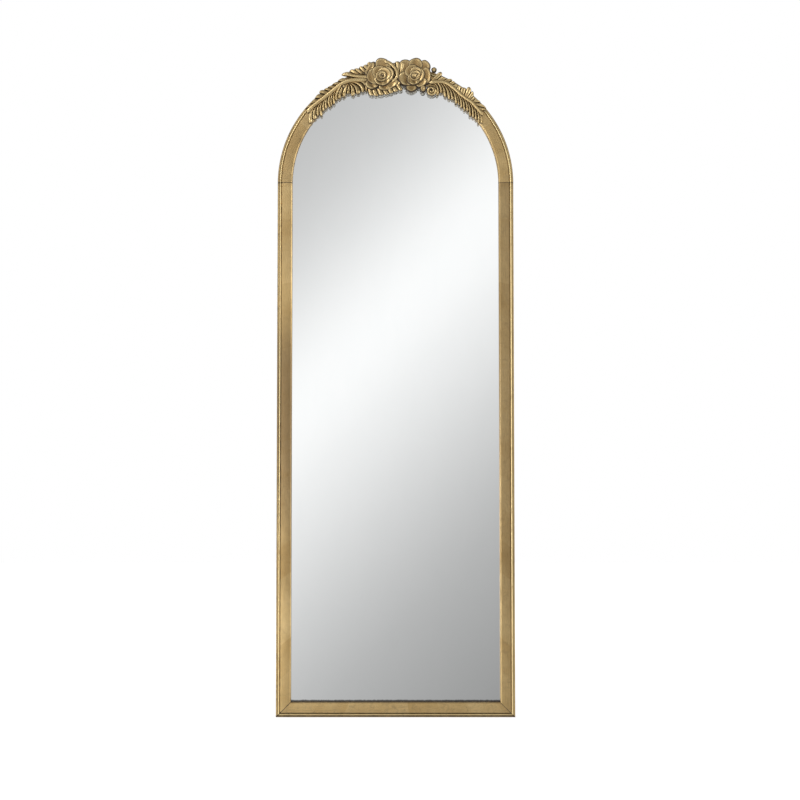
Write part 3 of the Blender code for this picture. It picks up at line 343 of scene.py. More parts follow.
def buildPiece(name, shells, material, body, replaced, order=0):
    # joins shells into one mesh, points its faces out, and puts it in the place of its CAD nodes
    points, corners, offset = [], [], 0
    for number, item in enumerate(shells):
        apart = shellGap * number + pieceGap * order
        points.append(item["points"] - np.outer(item["bare"] == 1, (0, apart, 0)))
        for faces in item["faces"]:
            corners += (faces + offset).tolist()
        offset += len(item["points"])
    mesh = bpy.data.meshes.new(name)
    mesh.from_pydata(np.concatenate(points).tolist(), [], corners)
    for label in ("hollow", "ridge", "bare"):
        values = np.concatenate([item[label] for item in shells])
        mesh.attributes.new(label, "FLOAT", "POINT").data.foreach_set("value", values.astype(np.float32))
    vertexOf = np.zeros(len(mesh.loops), np.int32)
    mesh.loops.foreach_get("vertex_index", vertexOf)
    flows = np.concatenate([item["flow"] for item in shells])[vertexOf]
    mesh.uv_layers.new(name="flow").data.foreach_set("uv", flows.astype(np.float32).ravel())
    work = bmesh.new()
    work.from_mesh(mesh)
    bmesh.ops.recalc_face_normals(work, faces=work.faces[:])
    work.to_mesh(mesh)
    work.free()
    mesh.shade_smooth()
    mesh.set_sharp_from_angle(angle=sharpAngle)
    mesh.materials.append(material)
    piece = bpy.data.objects.new(name, mesh)
    scene.collection.objects.link(piece)
    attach(piece, body)
    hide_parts(*replaced)


# Mouldings: one fine section carried along straight and round paths

moulding = dict(
    edgeWidth=0.0042, edgeSetback=0.0040, edgeRound=0.0012,
    quirkWidth=0.0008, quirkDepth=0.0012,
    beadWidth=0.0048, beadSetback=0.0006,
    grooveWidth=0.0017,
    faceCrown=0.0003,
    ovoloWidth=0.0046, sightSetback=0.0050,
    rebateWidth=0.009, lipThickness=0.007,
    fillet=0.0002,
    rowEvery=0.012,
    waver=0.00016,  # how far the hand-cut edges wander
    seamReach=0.0007, seamDepth=1.2,  # of the dark line at each end
)


def curveOf(centre, radii, start, end, count):
    # points of an elliptical arc between two angles in degrees
    angles = np.radians(np.linspace(start, end, count))
    return np.stack([centre[0] + radii[0] * np.cos(angles), centre[1] + radii[1] * np.sin(angles)], axis=1)


def mouldingSection():
    # the section as (inset, height above the back), with the hollow, ridge and bare share of each point
    m = moulding
    crown = mouldDepth
    edgeTop = crown - m["edgeSetback"]
    foot = edgeTop - m["quirkDepth"]
    beadStart = m["edgeWidth"] + m["quirkWidth"]
    beadEnd = beadStart + m["beadWidth"]
    faceStart = beadEnd + m["grooveWidth"]
    faceEnd = mouldWidth - m["ovoloWidth"]
    faceEdge = crown - m["faceCrown"]
    sight = crown - m["sightSetback"]
    lip = sight - m["lipThickness"]
    backBand = mouldWidth - m["rebateWidth"]
    small = m["fillet"]
    side = np.stack([np.zeros(8), np.linspace(0.002, edgeTop - 2 * m["edgeRound"], 8)], axis=1)
    across = np.linspace(0.03, 1, 22)
    crowned = crown - m["faceCrown"] * (2 * across - 1) ** 2
    face = np.stack([faceStart + (faceEnd - faceStart) * across, crowned], axis=1)
    back = [(backBand, lip / 2), (backBand, small), (backBand - small, 0.0), (backBand / 2, 0.0)]
    # curves as centre and radii
    rounding = (m["edgeRound"], edgeTop - m["edgeRound"]), (m["edgeRound"], m["edgeRound"])
    bead = ((beadStart + beadEnd) / 2, foot), (m["beadWidth"] / 2, crown - m["beadSetback"] - foot)
    ovolo = (faceEnd, sight), (m["ovoloWidth"], faceEdge - sight)
    # each stretch: its points, then hollow, ridge and bare. Hollow is glaze and painted shade (quirk, groove,
    # ovolo foot, walls); ridge is rubbed gold and painted highlight, most on the bead
    stretches = [
        ([(0, 0)], 0.2, 0, 1),
        (side, 0.26, 0.1, 0),
        (curveOf(*rounding, 180, 90, 7), 0.50, 0.1, 0),
        ([(m["edgeWidth"] * 0.6, edgeTop), (m["edgeWidth"] - small, edgeTop)], 0.25, 0.3, 0),
        ([(m["edgeWidth"], edgeTop - small), (m["edgeWidth"], foot), (beadStart, foot)], 0.55, 0, 0),
        (curveOf(*bead, 172, 150, 4), 0.4, 0, 0),
        (curveOf(*bead, 142, 38, 14), 0, 1, 0),
        (curveOf(*bead, 30, 8, 4), 0.1, 0.5, 0),
        ([(beadEnd, foot), (faceStart - small, foot), (faceStart, foot + small)], 0.36, 0, 0),
        ([(faceStart, faceEdge - 4 * small), (faceStart + small, faceEdge)], 0.25, 0.2, 0),
        (face, 0, 0.12, 0),
        (curveOf(*ovolo, 84, 28, 8), 0, 0.15, 0),
        (curveOf(*ovolo, 22, 0, 4), 0.45, 0, 0),
        ([(mouldWidth, up) for up in (sight - 0.001, (sight + lip) / 2, lip + small)], 0.25, 0, 0),
        ([(mouldWidth - small, lip), (backBand, lip)], 0.3, 0, 1),
        (back, 0.2, 0, 1),
    ]
    section = np.concatenate([points for points, *rest in stretches])
    marks = np.concatenate([np.tile(rest, (len(points), 1)) for points, *rest in stretches])
    return section, marks


def waver(inset, run, seed):
    # a slow wander of a few tenths of a millimetre: three sines whose lengths don't match
    total = 0
    for share, length, turn in ((0.5, 0.173, 0.0), (0.3, 0.067, 2.1), (0.2, 0.031, 4.4)):
        total = total + share * np.sin(2 * math.pi * run / length + turn + seed + 120 * inset)
    return moulding["waver"] * total


def stationRuns(length):
    # shares of a run, close together near both of its ends
    near = np.array([0, 0.0003, 0.0008, 0.0016, 0.003, 0.006])
    step = moulding["rowEvery"]
    middle = np.linspace(step, length - step, max(4, int(length / step)))
    return np.concatenate([near, middle, length - near[::-1]]) / length


def sweepMoulding(place, length, seed):
    # carries the section along a run: place gives each point from its inset, height and share of the run
    section, marks = mouldingSection()
    run, inset = np.meshgrid(stationRuns(length), section[:, 0], indexing="ij")
    height = np.broadcast_to(section[:, 1], run.shape)
    shown = np.clip(height / mouldDepth * 1.6 - 0.5, 0, 1)  # no wander at the back
    moved = height + waver(inset, run * length, seed) * shown
    points = place(inset, moved, run)
    rows, columns = run.shape
    ends = np.array([np.arange(columns), np.arange(columns) + (rows - 1) * columns])
    faces = [gridFaces(rows, columns, closed=True), ends]
    steps = np.linalg.norm(np.diff(section, axis=0, prepend=section[:1]), axis=1)
    flow = np.stack([np.broadcast_to(np.cumsum(steps), run.shape), run * length], axis=-1)
    fromEnd = np.minimum(run, 1 - run) * length
    seam = np.exp(-fromEnd / moulding["seamReach"])
    hollow = np.clip(marks[:, 0] + seam * moulding["seamDepth"], 0, 1)
    ridge = marks[:, 1] * (1 - seam)
    bare = np.broadcast_to(marks[:, 2], run.shape)
    return shell(points.reshape(-1, 3), faces, flow.reshape(-1, 2), hollow, ridge, bare)


def makeStile(side, seed):
    # straight up from the mitre, which starts higher the further in, to the joint with the arch
    def place(inset, height, share):
        start, end = inset + jointGap * math.sqrt(2), springZ - jointGap
        up = start + (end - start) * share
        return np.stack([side * (outerRadius - inset), backY - height, up], axis=-1)
    return sweepMoulding(place, springZ, seed)


def makeRail(seed):
    # straight across between the mitres, shorter the further in
    def place(inset, height, share):
        half = outerRadius - inset - jointGap * math.sqrt(2)
        return np.stack([half * (2 * share - 1), backY - height, inset], axis=-1)
    return sweepMoulding(place, 2 * outerRadius, seed)


def makeArch(side, seed):
    # a quarter turn from the joint with the stile up to the one at the crown
    gapAngle = jointGap / outerRadius

    def place(inset, height, share):
        angle = gapAngle + (math.pi / 2 - 2 * gapAngle) * share
        reach = outerRadius - inset
        across, up = side * reach * np.cos(angle), springZ + reach * np.sin(angle)
        return np.stack([across, backY - height, up], axis=-1)
    return sweepMoulding(place, outerRadius * math.pi / 2, seed)


# wash paints shade as well as a brown wash: its ramps darken the stiles along their height where light falls
# less, and the right stile, on the shaded side, takes more
mouldings = dict(
    left_stile=dict(shape=makeStile(-1, 0.4), tarnish=0.18, streaks=0.26, rub=0.7, wash=(
        (0, 0.06), (0.10, 0), (0.16, 0.10), (0.21, 0.40), (0.26, 0.44), (0.31, 0.72), (0.37, 0.85),
        (0.46, 0.98), (0.54, 0.92), (0.58, 0.80), (0.62, 0), (0.68, 0.10), (0.72, 0.26), (0.78, 0.10),
        (0.9, 0.10))),
    right_stile=dict(shape=makeStile(1, 1.7), tarnish=0.30, streaks=0.46, rub=0.8, hollowGlazeShade=0.6, wash=(
        (0, 0.10), (0.12, 0.25), (0.24, 0.60), (0.60, 0.52), (0.80, 0.60))),
    bottom_rail=dict(shape=makeRail(2.9), tarnish=0.44, streaks=0.45, rub=0.5, hollowGlazeShade=1.9, wash=0.10),
    left_arch=dict(shape=makeArch(-1, 3.3), tarnish=0.50, streaks=0.55, rub=0.6, wash=0.28),
    right_arch=dict(shape=makeArch(1, 5.1), tarnish=0.50, streaks=0.60, rub=0.9, wash=0.10),
)
for label, made in mouldings.items():
    shape = made.pop("shape")
    buildPiece("gilded_" + label, [shape], gildedMaterial(label + "_leaf", **made), "frame", [label])
print("mouldings:", len(mouldings))


# Carved crest: closed domes, each a round grid bent to the shape of a lobe or a petal

carving = dict(
    lobeRise=0.0092, ribRise=0.0108, bladeRise=0.0040,
    petalLines=29, bladeLines=31,
    lineWidth=0.0027,  # of the brown line of glaze and painted shade round each petal
    petalTop=0.91, petalRoll=0.09, petalLean=0.22,  # shares of a petal's rise
    pleatColumns=18, pleatRows=30,
    pleatRoot=0.78,  # share of its rise that a pleat has at its rib
    pleatFullness=0.40,  # broader on top the nearer to 0
    lengthWander=0.07, heightWander=0.17,  # from pleat to pleat
)


def onArch(degrees, share):
    # across and up for a place on the crest: degrees from the crown, share of the arch's radius
    angle = np.radians(degrees)
    reach = outerRadius * share
    return np.stack([reach * np.sin(angle), springZ + reach * np.cos(angle)], axis=-1)


def roundGrid(lines):
    # a square grid bent round, its lines close at the rim: (a, b) goes to (a·√(1 − b²/2), b·√(1 − a²/2))
    line = np.sin(np.linspace(-math.pi / 2, math.pi / 2, lines))
    a, b = np.meshgrid(line, line)
    return a * np.sqrt(1 - b**2 / 2), b * np.sqrt(1 - a**2 / 2)


def domeShell(across, flow, height, hollow, ridge):
    # closes a carved top with a flat back: both are grids, and a wall joins their rims
    rows, columns = height.shape
    count = rows * columns
    layers = (seatY - height, np.full(height.shape, seatY + jointGap))
    top, back = (np.stack([across[..., 0], y, across[..., 1]], axis=-1).reshape(-1, 3) for y in layers)
    number = np.arange(count).reshape(rows, columns)
    wallTop = np.concatenate([number[0, :-1], number[:-1, -1], number[-1, :0:-1], number[:0:-1, 0]])
    wallBack = wallTop + count
    quads = gridFaces(rows, columns)
    walls = np.stack([wallTop, wallBack, np.roll(wallBack, -1), np.roll(wallTop, -1)], axis=1)
    flows = np.concatenate([flow.reshape(-1, 2)] * 2)
    # the wall and back carry a hollow mark of 0.6: painted shade on the walls, where the bare ground does not
    # show
    ends = ((hollow, 0.6), (ridge, 0.0), (np.zeros(count), 1.0))
    marks = [np.concatenate([value.ravel(), np.full(count, end)]) for value, end in ends]
    return shell(np.concatenate([top, back]), [quads, quads[:, ::-1] + count, walls], flows, *marks)


def throughPoints(points, places):
    # a smooth line through points, read at whole and part numbers: each stretch is a cubic set by four points
    padded = np.concatenate([2 * points[:1] - points[1:2], points, 2 * points[-1:] - points[-2:-1]])
    first = np.clip(np.floor(places).astype(int), 0, len(points) - 2)
    t = (places - first)[:, None]
    p0, p1, p2, p3 = (padded[first + i] for i in range(4))
    return 0.5 * (2 * p1 + (p2 - p0) * t + (2 * p0 - 5 * p1 + 4 * p2 - p3) * t**2
                  + (3 * p1 - p0 - 3 * p2 + p3) * t**3)


def bell(value, width):
    # 1 at the middle, falling off to either side as e to the minus square of value over width
    return np.exp(-((value / width) ** 2))


def lineThrough(points, places):
    # throughPoints, carried straight on for half a place beyond both ends
    last = len(points) - 1
    inside = np.clip(places, 0, last)
    before = np.minimum(places, 0)[:, None] * (points[1] - points[0])
    beyond = np.maximum(places - last, 0)[:, None] * (points[-1] - points[-2])
    return throughPoints(points, inside) + before + beyond


def makeFrond(lobes, rise, pleats, seed, tilt, notch=0.13, valley=0.42, knob=0.12):
    # one side of a leaf: swept pleats, as many as asked or one to a lobe, from its rib to a scalloped edge. A
    # pleat is broad on top and sharp in its valley, and lies a little over the next one
    c = carving
    roots, elbows, tips = (onArch(*pairs.T) for pairs in np.array(lobes).reshape(-1, 3, 2).swapaxes(0, 1))
    count = len(lobes)
    pleats = pleats or count
    u = np.linspace(-0.5, pleats - 0.5, c["pleatColumns"] * pleats + 1)
    along = (u + 0.5) * count / pleats - 0.5
    way = np.sin(np.linspace(0, math.pi / 2, c["pleatRows"]))[None, :] ** 1.15
    start, bend, end = (lineThrough(points, along)[:, None, :] for points in (roots, elbows, tips))
    number = np.round(u - 1e-9)[:, None]
    apart = u[:, None] - number  # from -0.5 to 0.5 across each pleat
    full = np.abs(np.cos(math.pi * apart)) ** c["pleatFullness"]
    longer = 1 + c["lengthWander"] * np.sin(2.4 * number + seed) * full
    higher = 1 + c["heightWander"] * np.sin(3.1 * number + 2 * seed) * full
    t = (way * (1 - notch * (1 - full)) * longer)[..., None]
    across = start * (1 - t) ** 2 + bend * 2 * t * (1 - t) + end * t**2
    body = c["pleatRoot"] + (1 - c["pleatRoot"]) * np.sin(math.pi * np.clip(way, 0, 0.62) / 1.24)
    body = body + knob * bell(way - 0.86, 0.09) * full  # the knob swells shortly before the tip
    lift = valley + (1 - valley) * full + tilt * apart * 2 * np.clip(way * 3, 0, 1)
    fromSide = np.minimum(np.arange(len(u)), len(u) - 1 - np.arange(len(u)))[:, None]
    edge = np.clip(1 - way**10, 0, 1) ** 0.5 * np.clip((fromSide + 1) / 4, 0, 1)
    height = rise * np.clip(body * lift * higher * edge, 0.05, None)
    flow = np.stack(np.broadcast_arrays(u[:, None] * 0.01, way * 0.03), axis=-1)
    # painted shade in the valleys between pleats and at the tips; the broad tops take the rubbed gold and
    # painted highlight
    hollow = np.clip(1.5 * bell(0.5 - np.abs(apart), 0.10) + 0.9 * bell(1 - way, 0.04), 0, 1)
    ridge = np.clip(bell(np.abs(apart) - 0.22, 0.15) * np.clip(way * 2, 0.3, 1) - 0.5 * hollow, 0, 1)
    return domeShell(across, flow, height, hollow, ridge)


def makeTube(path, radii, lift, sides, flatten=1.0):
    # a round strand along a path, closed at its ends: a circle carried at right angles to the path
    count = len(path)
    ease = np.clip(np.sin(np.linspace(0, math.pi / 2, 5)), 0.02, 1)
    ends = np.ones(count)
    ends[:5] = ease
    ends[-5:] = ease[::-1]
    heading = np.gradient(path, axis=0)
    heading /= np.linalg.norm(heading, axis=1, keepdims=True)
    aside = np.stack([heading[:, 1], -heading[:, 0]], axis=1)
    angle = np.linspace(0, 2 * math.pi, sides, endpoint=False)
    wide = (radii * ends)[:, None] * np.cos(angle)
    tall = (radii * ends)[:, None] * np.sin(angle) * flatten
    spot = path[:, None, :] + aside[:, None, :] * wide[..., None]
    points = np.stack([spot[..., 0], seatY - lift[:, None] - tall, spot[..., 1]], axis=-1).reshape(-1, 3)
    run = np.concatenate([[0], np.cumsum(np.linalg.norm(np.diff(path, axis=0), axis=1))])
    around = np.broadcast_to(angle * radii.mean(), wide.shape)
    flow = np.stack([around, np.broadcast_to(run[:, None], wide.shape)], axis=-1).reshape(-1, 2)
    up = np.broadcast_to(np.sin(angle), wide.shape)
    # painted shade on the lower half of the strand; its top takes the rubbed gold and painted highlight
    hollow = np.clip(1.0 - up * 2.2, 0, 1)
    ridge = np.clip(up * 1.2 - 0.4, 0, 1)
    bare = np.clip(-up * 3 - 1.6, 0, 1)
    caps = np.array([np.arange(sides), np.arange(sides) + (count - 1) * sides])
    return shell(points, [gridFaces(count, sides, closed=True), caps], flow, hollow, ridge, bare)


def makeRib(rib, wide, narrow, rise):
    # the midrib of a leaf: a flattened strand that tapers to its tip, kept in front of the seat
    steps, flatten = 60, 0.6
    path = throughPoints(onArch(*np.array(rib).T), np.linspace(0, len(rib) - 1, steps))
    radii = wide + (narrow - wide) * np.linspace(0, 1, steps) ** 0.8
    lift = np.maximum(rise - radii * flatten, radii * flatten)
    return makeTube(path, radii, lift, 20, flatten)


def makeBlade(rib, width, rise):
    # the ground of a leaf under its lobes: a low ridge along the rib, wide in the middle, darkened all over
    # as painted shade
    p, q = roundGrid(carving["bladeLines"])
    s = (q + 1) / 2
    ribPoints = onArch(*np.array(rib).T)
    place = (s * (len(rib) - 1)).ravel()
    path, ahead = (throughPoints(ribPoints, place + more).reshape(*s.shape, 2) for more in (0, 0.05))
    heading = (ahead - path) / np.linalg.norm(ahead - path, axis=-1, keepdims=True)
    aside = np.stack([heading[..., 1], -heading[..., 0]], axis=-1)
    across = path + aside * (p * width)[..., None]
    edge = np.clip(1 - (p**2 + q**2) ** 3, 0, 1) ** 0.5
    flow = np.stack([p * width, s * 0.3], axis=-1)
    return domeShell(across, flow, rise * edge, np.full(s.shape, 1.0), np.zeros(s.shape))


# Petals of each rose from the back to the front, in millimetres and degrees: right and up from its centre,
# half width, half height, turn, rise, depth of the dish, depth of the ribs
roses = dict(
    left=dict(centre=(-7.3, 0.916), petals=(
        (-31, 19, 9.5, 23, -34, 10, 0.10, 0), (0.5, 30, 19.6, 18.2, 0, 8.5, 0, 0),
        (38, -16, 12, 14, 20, 8, 0, 0), (-24.2, -18.3, 21.5, 17.5, 35, 10.4, 0, 0.11),
        (17, -22, 30, 14.5, 22, 9.6, 0, 0.06), (-15, -1, 26.5, 24, 0, 11.4, 0, 0.08),
        (12, 3, 21.5, 23, -20, 12, 0, 0), (2, -8.5, 24, 19.5, 8, 12.6, 0, 0.05),
        (-6, 8.5, 21.5, 19.5, 20, 13.2, 0, 0), (7, 4.5, 20.5, 18, -35, 13.9, 0, 0),
        (-1.1, -1.9, 17, 17, 0, 15.2, 0.06, 0), (1.8, 0.8, 12.6, 12.4, 0, 16.3, 0.10, 0),
        (3.6, -2, 8.6, 9, -40, 17.2, 0.16, 0), (1.2, 1, 5.2, 4.6, 30, 18, 0.16, 0),
    )),
    right=dict(centre=(10.1, 0.922), petals=(
        (-23.9, 25.5, 18, 19.5, -30, 8.5, 0, 0), (24.5, 24.5, 17, 18, -30, 8.5, 0, 0),
        (3, 29.5, 21, 18.5, 0, 9.2, 0, 0.05), (30.5, 2, 13, 24.5, 5, 9.4, 0, 0),
        (-8.2, -30, 16, 11.5, 0, 8.2, 0, 0), (16.9, -16.5, 18.5, 13.5, 25, 10, 0, 0),
        (-19, -6, 25.5, 21.5, 0, 11.6, 0, 0.11), (-8, 13, 21, 16.5, 35, 12.2, 0, 0.03),
        (7, 3, 20.5, 23, 0, 12.8, 0, 0.04), (-2, -8.5, 20.5, 18, 12, 13.3, 0, 0.07),
        (4, 8, 18, 16.5, -15, 13.9, 0, 0), (1, 0, 17.2, 15.6, 25, 14.8, 0.06, 0),
        (4.6, 3, 12.6, 12.2, 0, 15.7, 0.08, 0), (-1.6, -0.6, 9.6, 8.4, 20, 16.6, 0.14, 0),
        (4.6, 1.6, 5.4, 5.6, -30, 17.5, 0.16, 0),
    )),
)


def petalShell(centre, wide, tall, turn, rise, dish, ribs=0.0, lean=(0.0, 0.0), seed=0.0):
    # a petal: a wavy oval with a rolled rim, a dark line of glaze and painted shade round it and, if asked, a
    # dish or a fan of ribs
    p, q = roundGrid(carving["petalLines"])
    cos, sin = math.cos(math.radians(turn)), math.sin(math.radians(turn))
    radial = np.sqrt(np.clip(p**2 + q**2, 0, 1))
    bearing = np.arctan2(q, p)
    wavy = 1 + radial**3 * (0.030 * np.sin(3 * bearing + seed) + 0.022 * np.sin(5 * bearing + 2.3 * seed))
    x, z = wide * p * wavy, tall * q * wavy
    spot = np.stack([x * cos - z * sin, x * sin + z * cos], axis=-1)
    line = carving["lineWidth"] / math.sqrt(wide * tall)
    edge = np.clip((1 - radial) / line, 0, 1)
    edge = 0.55 * np.sqrt(edge * (2 - edge)) + 0.45 * np.clip(1 - radial**16, 0, 1) ** 0.5
    rolled = bell(radial - 1 + 1.7 * line, 1.2 * line)
    fan = np.cos(p * 12 / (1.5 + 0.5 * q) + seed)
    outward = (spot @ np.array(lean)) / max(wide, tall)
    form = carving["petalTop"] + carving["petalRoll"] * rolled - dish * bell(radial, 0.60)
    form = form + ribs * fan * bell(radial, 0.9) + outward
    # painted shade: the line round the rim, the furrows between the ribs and the middle of the dish
    hollow = 1.9 * bell(1 - radial, 0.95 * line) + 4 * ribs * np.clip(-fan, 0, 1)
    hollow = np.clip(hollow + 2 * dish * bell(radial, 0.45), 0, 1)
    ridge = np.clip(0.75 * rolled + 4 * ribs * np.clip(fan, 0, 1) - 0.6 * hollow, 0, 1)
    return domeShell(centre + spot, np.stack([x, z], axis=-1), rise * edge * form, hollow, ridge)


def makeRose(rose):
    # each petal leans out from the centre, so that its outer rim stands up
    shells = []
    for number, (right, up, wide, tall, turn, rise, dish, ribs) in enumerate(rose["petals"]):
        away = max(math.hypot(right, up), 8)  # the innermost petals lean less
        lean = (carving["petalLean"] * right / away, carving["petalLean"] * up / away)
        centre = onArch(*rose["centre"]) + np.array([right, up]) / 1000
        shells.append(petalShell(centre, wide / 1000, tall / 1000, turn, rise / 1000, dish, ribs, lean,
                                 number * 1.7))
    return shells


def makePetal(degrees, share, wide, tall, rise, dish=0.0):
    # a plain petal at a place on the arch
    return petalShell(onArch(degrees, share), wide, tall, 0.0, rise, dish)


# Leaf places: degrees from the crown (to the right positive) and shares of the arch's radius
leftRib = ((-14.9, 0.909), (-19, 0.925), (-23, 0.948), (-26.6, 0.957), (-30.9, 0.952), (-36.1, 0.944),
           (-40.8, 0.943), (-45.2, 0.951), (-49.3, 0.958), (-51.6, 0.953))
topRib = ((-14.1, 0.928), (-18, 0.95), (-21.6, 0.981), (-24.5, 1.016))
rightRib = ((18.5, 0.895), (20.9, 0.917), (23.7, 0.939), (26.2, 0.951), (29.2, 0.95), (33.1, 0.941),
            (36.7, 0.932),
            (39.9, 0.934), (43.7, 0.941), (46.7, 0.939), (49.9, 0.938), (52.3, 0.931))
strandRib = ((-5.4, 1.035), (-2.9, 1.02), (-0.6, 0.982), (0.9, 0.935), (0.5, 0.892), (-2, 0.853))

# Lobes: degrees and shares of root, elbow and tip
leftLower = (
    (-47.5, 0.939, -51, 0.939, -54.6, 0.88), (-44.9, 0.932, -48.3, 0.927, -51.2, 0.868),
    (-42.5, 0.93, -45.9, 0.923, -49.1, 0.856), (-40.1, 0.93, -43.6, 0.923, -46.7, 0.852),
    (-38, 0.93, -41.4, 0.925, -44.2, 0.855), (-36, 0.932, -39.3, 0.925, -41.4, 0.863),
    (-34, 0.935, -37.4, 0.923, -40.6, 0.835), (-31.9, 0.939, -35.6, 0.927, -38, 0.851),
    (-30.3, 0.943, -33.8, 0.928, -35.7, 0.855),
)
leftScroll = (
    (-26.2, 0.960, -30.6, 0.951, -36.3, 0.866), (-25.9, 0.947, -29.9, 0.933, -33.8, 0.857),
    (-25.6, 0.934, -28, 0.911, -30.9, 0.852), (-25.4, 0.924, -25.6, 0.891, -28.3, 0.851),
    (-24.9, 0.926, -23.4, 0.881, -26.1, 0.828), (-24.4, 0.930, -20.4, 0.888, -23, 0.814),
    (-24.1, 0.936, -17.3, 0.896, -19.7, 0.811), (-24, 0.948, -14.2, 0.922, -17.5, 0.821),
)
leftUpper = (
    (-46.5, 0.959, -48.1, 0.981, -49.8, 0.992), (-43.3, 0.96, -44.9, 0.98, -46.5, 0.994),
    (-40.2, 0.954, -41.2, 0.98, -42.4, 1.002), (-36.9, 0.954, -38.1, 0.985, -39.2, 1.011),
    (-34.7, 0.954, -35.7, 0.982, -36.8, 1.004), (-31.8, 0.958, -33.3, 0.984, -34.8, 0.997),
    (-28.9, 0.959, -30.3, 0.986, -32.3, 0.996), (-25.5, 0.959, -26.8, 0.989, -28.8, 1.004),
)
topLobes = (
    (-19.9, 0.962, -22.9, 0.996, -25.3, 1.033), (-19, 0.979, -20.7, 1.008, -21.4, 1.043),
    (-17, 0.977, -18.5, 1.004, -19.2, 1.032), (-15.3, 0.982, -16.5, 1.01, -16.8, 1.037),
    (-13.9, 0.989, -14.7, 1.02, -14.8, 1.043), (-12.3, 0.996, -12.8, 1.029, -12.5, 1.052),
)
rightLower = (
    (48.8, 0.93, 52.7, 0.927, 55.6, 0.874), (46.2, 0.929, 50, 0.926, 53.6, 0.866),
    (43.7, 0.927, 47.3, 0.923, 51, 0.857), (41, 0.925, 44.8, 0.918, 48.3, 0.851),
    (38.4, 0.923, 42.3, 0.915, 45.4, 0.85), (35.7, 0.924, 39.9, 0.911, 42.6, 0.849),
    (32.9, 0.929, 37.3, 0.91, 40.2, 0.843), (30, 0.935, 34.9, 0.915, 37.5, 0.851),
    (27.5, 0.937, 32.2, 0.916, 34.6, 0.847), (25, 0.936, 29.2, 0.913, 31.7, 0.842),
    (22.8, 0.93, 26.8, 0.912, 27.9, 0.851), (20.9, 0.917, 25.1, 0.899, 25.6, 0.831),
)
rightUpper = (
    (48.1, 0.93, 49.1, 0.955, 50.8, 0.976), (45.7, 0.932, 47.4, 0.975, 50.9, 1.003),
    (43.2, 0.929, 44.8, 0.958, 46.3, 0.999), (42.7, 0.933, 43.5, 0.961, 43.6, 0.983),
    (42, 0.933, 42.4, 0.969, 42.1, 0.998), (40.6, 0.932, 40.7, 0.983, 40.1, 1.022),
    (39.2, 0.934, 38.7, 0.984, 37.4, 1.027), (37.5, 0.928, 36.1, 0.966, 35.5, 1.005),
    (34.8, 0.929, 34.1, 0.957, 33.6, 0.992), (32.1, 0.936, 32.4, 0.959, 32.6, 0.983),
    (29.6, 0.946, 30.3, 0.969, 31.4, 0.996), (27.4, 0.951, 28.4, 0.974, 29.3, 1.001),
    (25.1, 0.951, 26.2, 0.972, 27.4, 1), (22.1, 0.935, 23.6, 0.959, 24.4, 0.996),
    (20.1, 0.927, 21.1, 0.965, 22.5, 1.019),
)
lowerLobes = (
    (-15.3, 0.835, -15.9, 0.807, -15.3, 0.771), (-12.8, 0.822, -13.1, 0.788, -12.3, 0.753),
    (-10, 0.809, -9.8, 0.778, -8.8, 0.751), (-7, 0.807, -6.4, 0.781, -5.4, 0.757),
    (-4.2, 0.816, -3.4, 0.786, -2.3, 0.758), (-1.8, 0.832, -0.7, 0.801, 0.5, 0.777),
    (0.6, 0.849, 2, 0.815, 3.5, 0.787),
)
fanLobes = (
    (0.3, 0.896, -2.5, 0.961, -3.8, 1.028), (0.8, 0.900, -0.8, 0.978, -1.6, 1.031),
    (1.2, 0.905, 1.2, 0.986, 0.9, 1.036), (1.8, 0.901, 3.4, 0.979, 3.4, 1.033),
)


def makeSpiral(degrees, share, reach, wire, turns, start):
    # a scroll that winds in to its eye and rises on the way
    t = np.linspace(0, 1, 70)
    angle = math.radians(start) - 2 * math.pi * turns * t
    ray = np.stack([np.cos(angle), np.sin(angle)], axis=1)
    path = onArch(degrees, share) + (reach * (1 - 0.78 * t))[:, None] * ray
    return makeTube(path, wire * (1 - 0.45 * t), carving["lobeRise"] * (0.45 + 0.40 * t), 14)


def crestPieces():
    # the forms of each carving, from the back to the front
    rise = carving["lobeRise"]
    ribRise = carving["ribRise"]
    return dict(
        left_spray=[
            makeBlade(leftRib, 0.010, carving["bladeRise"]),
            makeFrond(leftUpper, rise * 0.92, 0, 1.3, -0.14, notch=0.34, knob=0.20),
            makeFrond(leftLower, rise, 10, 0.6, -0.20, knob=0.18),
            makeFrond(topLobes, rise * 0.9, 0, 2.2, 0.18, notch=0.28),
            makeRib(topRib, 0.0056, 0.0032, ribRise * 0.86),
            makeRib(leftRib, 0.0062, 0.0046, ribRise),
            makeFrond(leftScroll, rise * 1.10, 0, 4.0, -0.22, notch=0.18, knob=0.34),
            makePetal(-28.2, 0.926, 0.0058, 0.0062, ribRise * 1.14),
        ],
        right_spray=[
            makeBlade(rightRib, 0.010, carving["bladeRise"]),
            makeFrond(rightUpper, rise * 0.92, 13, 3.1, 0.14, notch=0.28, knob=0.20),
            makeFrond(rightLower, rise, 15, 5.2, 0.22, notch=0.16, knob=0.20),
            makeRib(rightRib, 0.0050, 0.0042, ribRise),
            makePetal(21.2, 0.842, 0.0135, 0.0135, rise * 0.62, dish=0.5),
            makeSpiral(21.2, 0.842, 0.0122, 0.0034, 1.6, 30),
            makePetal(16.3, 0.832, 0.0082, 0.0100, rise * 1.2),
            makePetal(18.8, 1.016, 0.0070, 0.0072, rise),
        ],
        left_rose=makeRose(roses["left"]) + [makeRib(strandRib, 0.0046, 0.0030, 0.0130)],
        right_rose=makeRose(roses["right"]),
        lower_leaf=[makeFrond(lowerLobes, rise * 0.95, 0, 0.9, 0.05, notch=0.20, valley=0.46, knob=0.20)],
        fan_leaf=[makeFrond(fanLobes, rise, 0, 2.0, 0.10, notch=0.08)],
    )


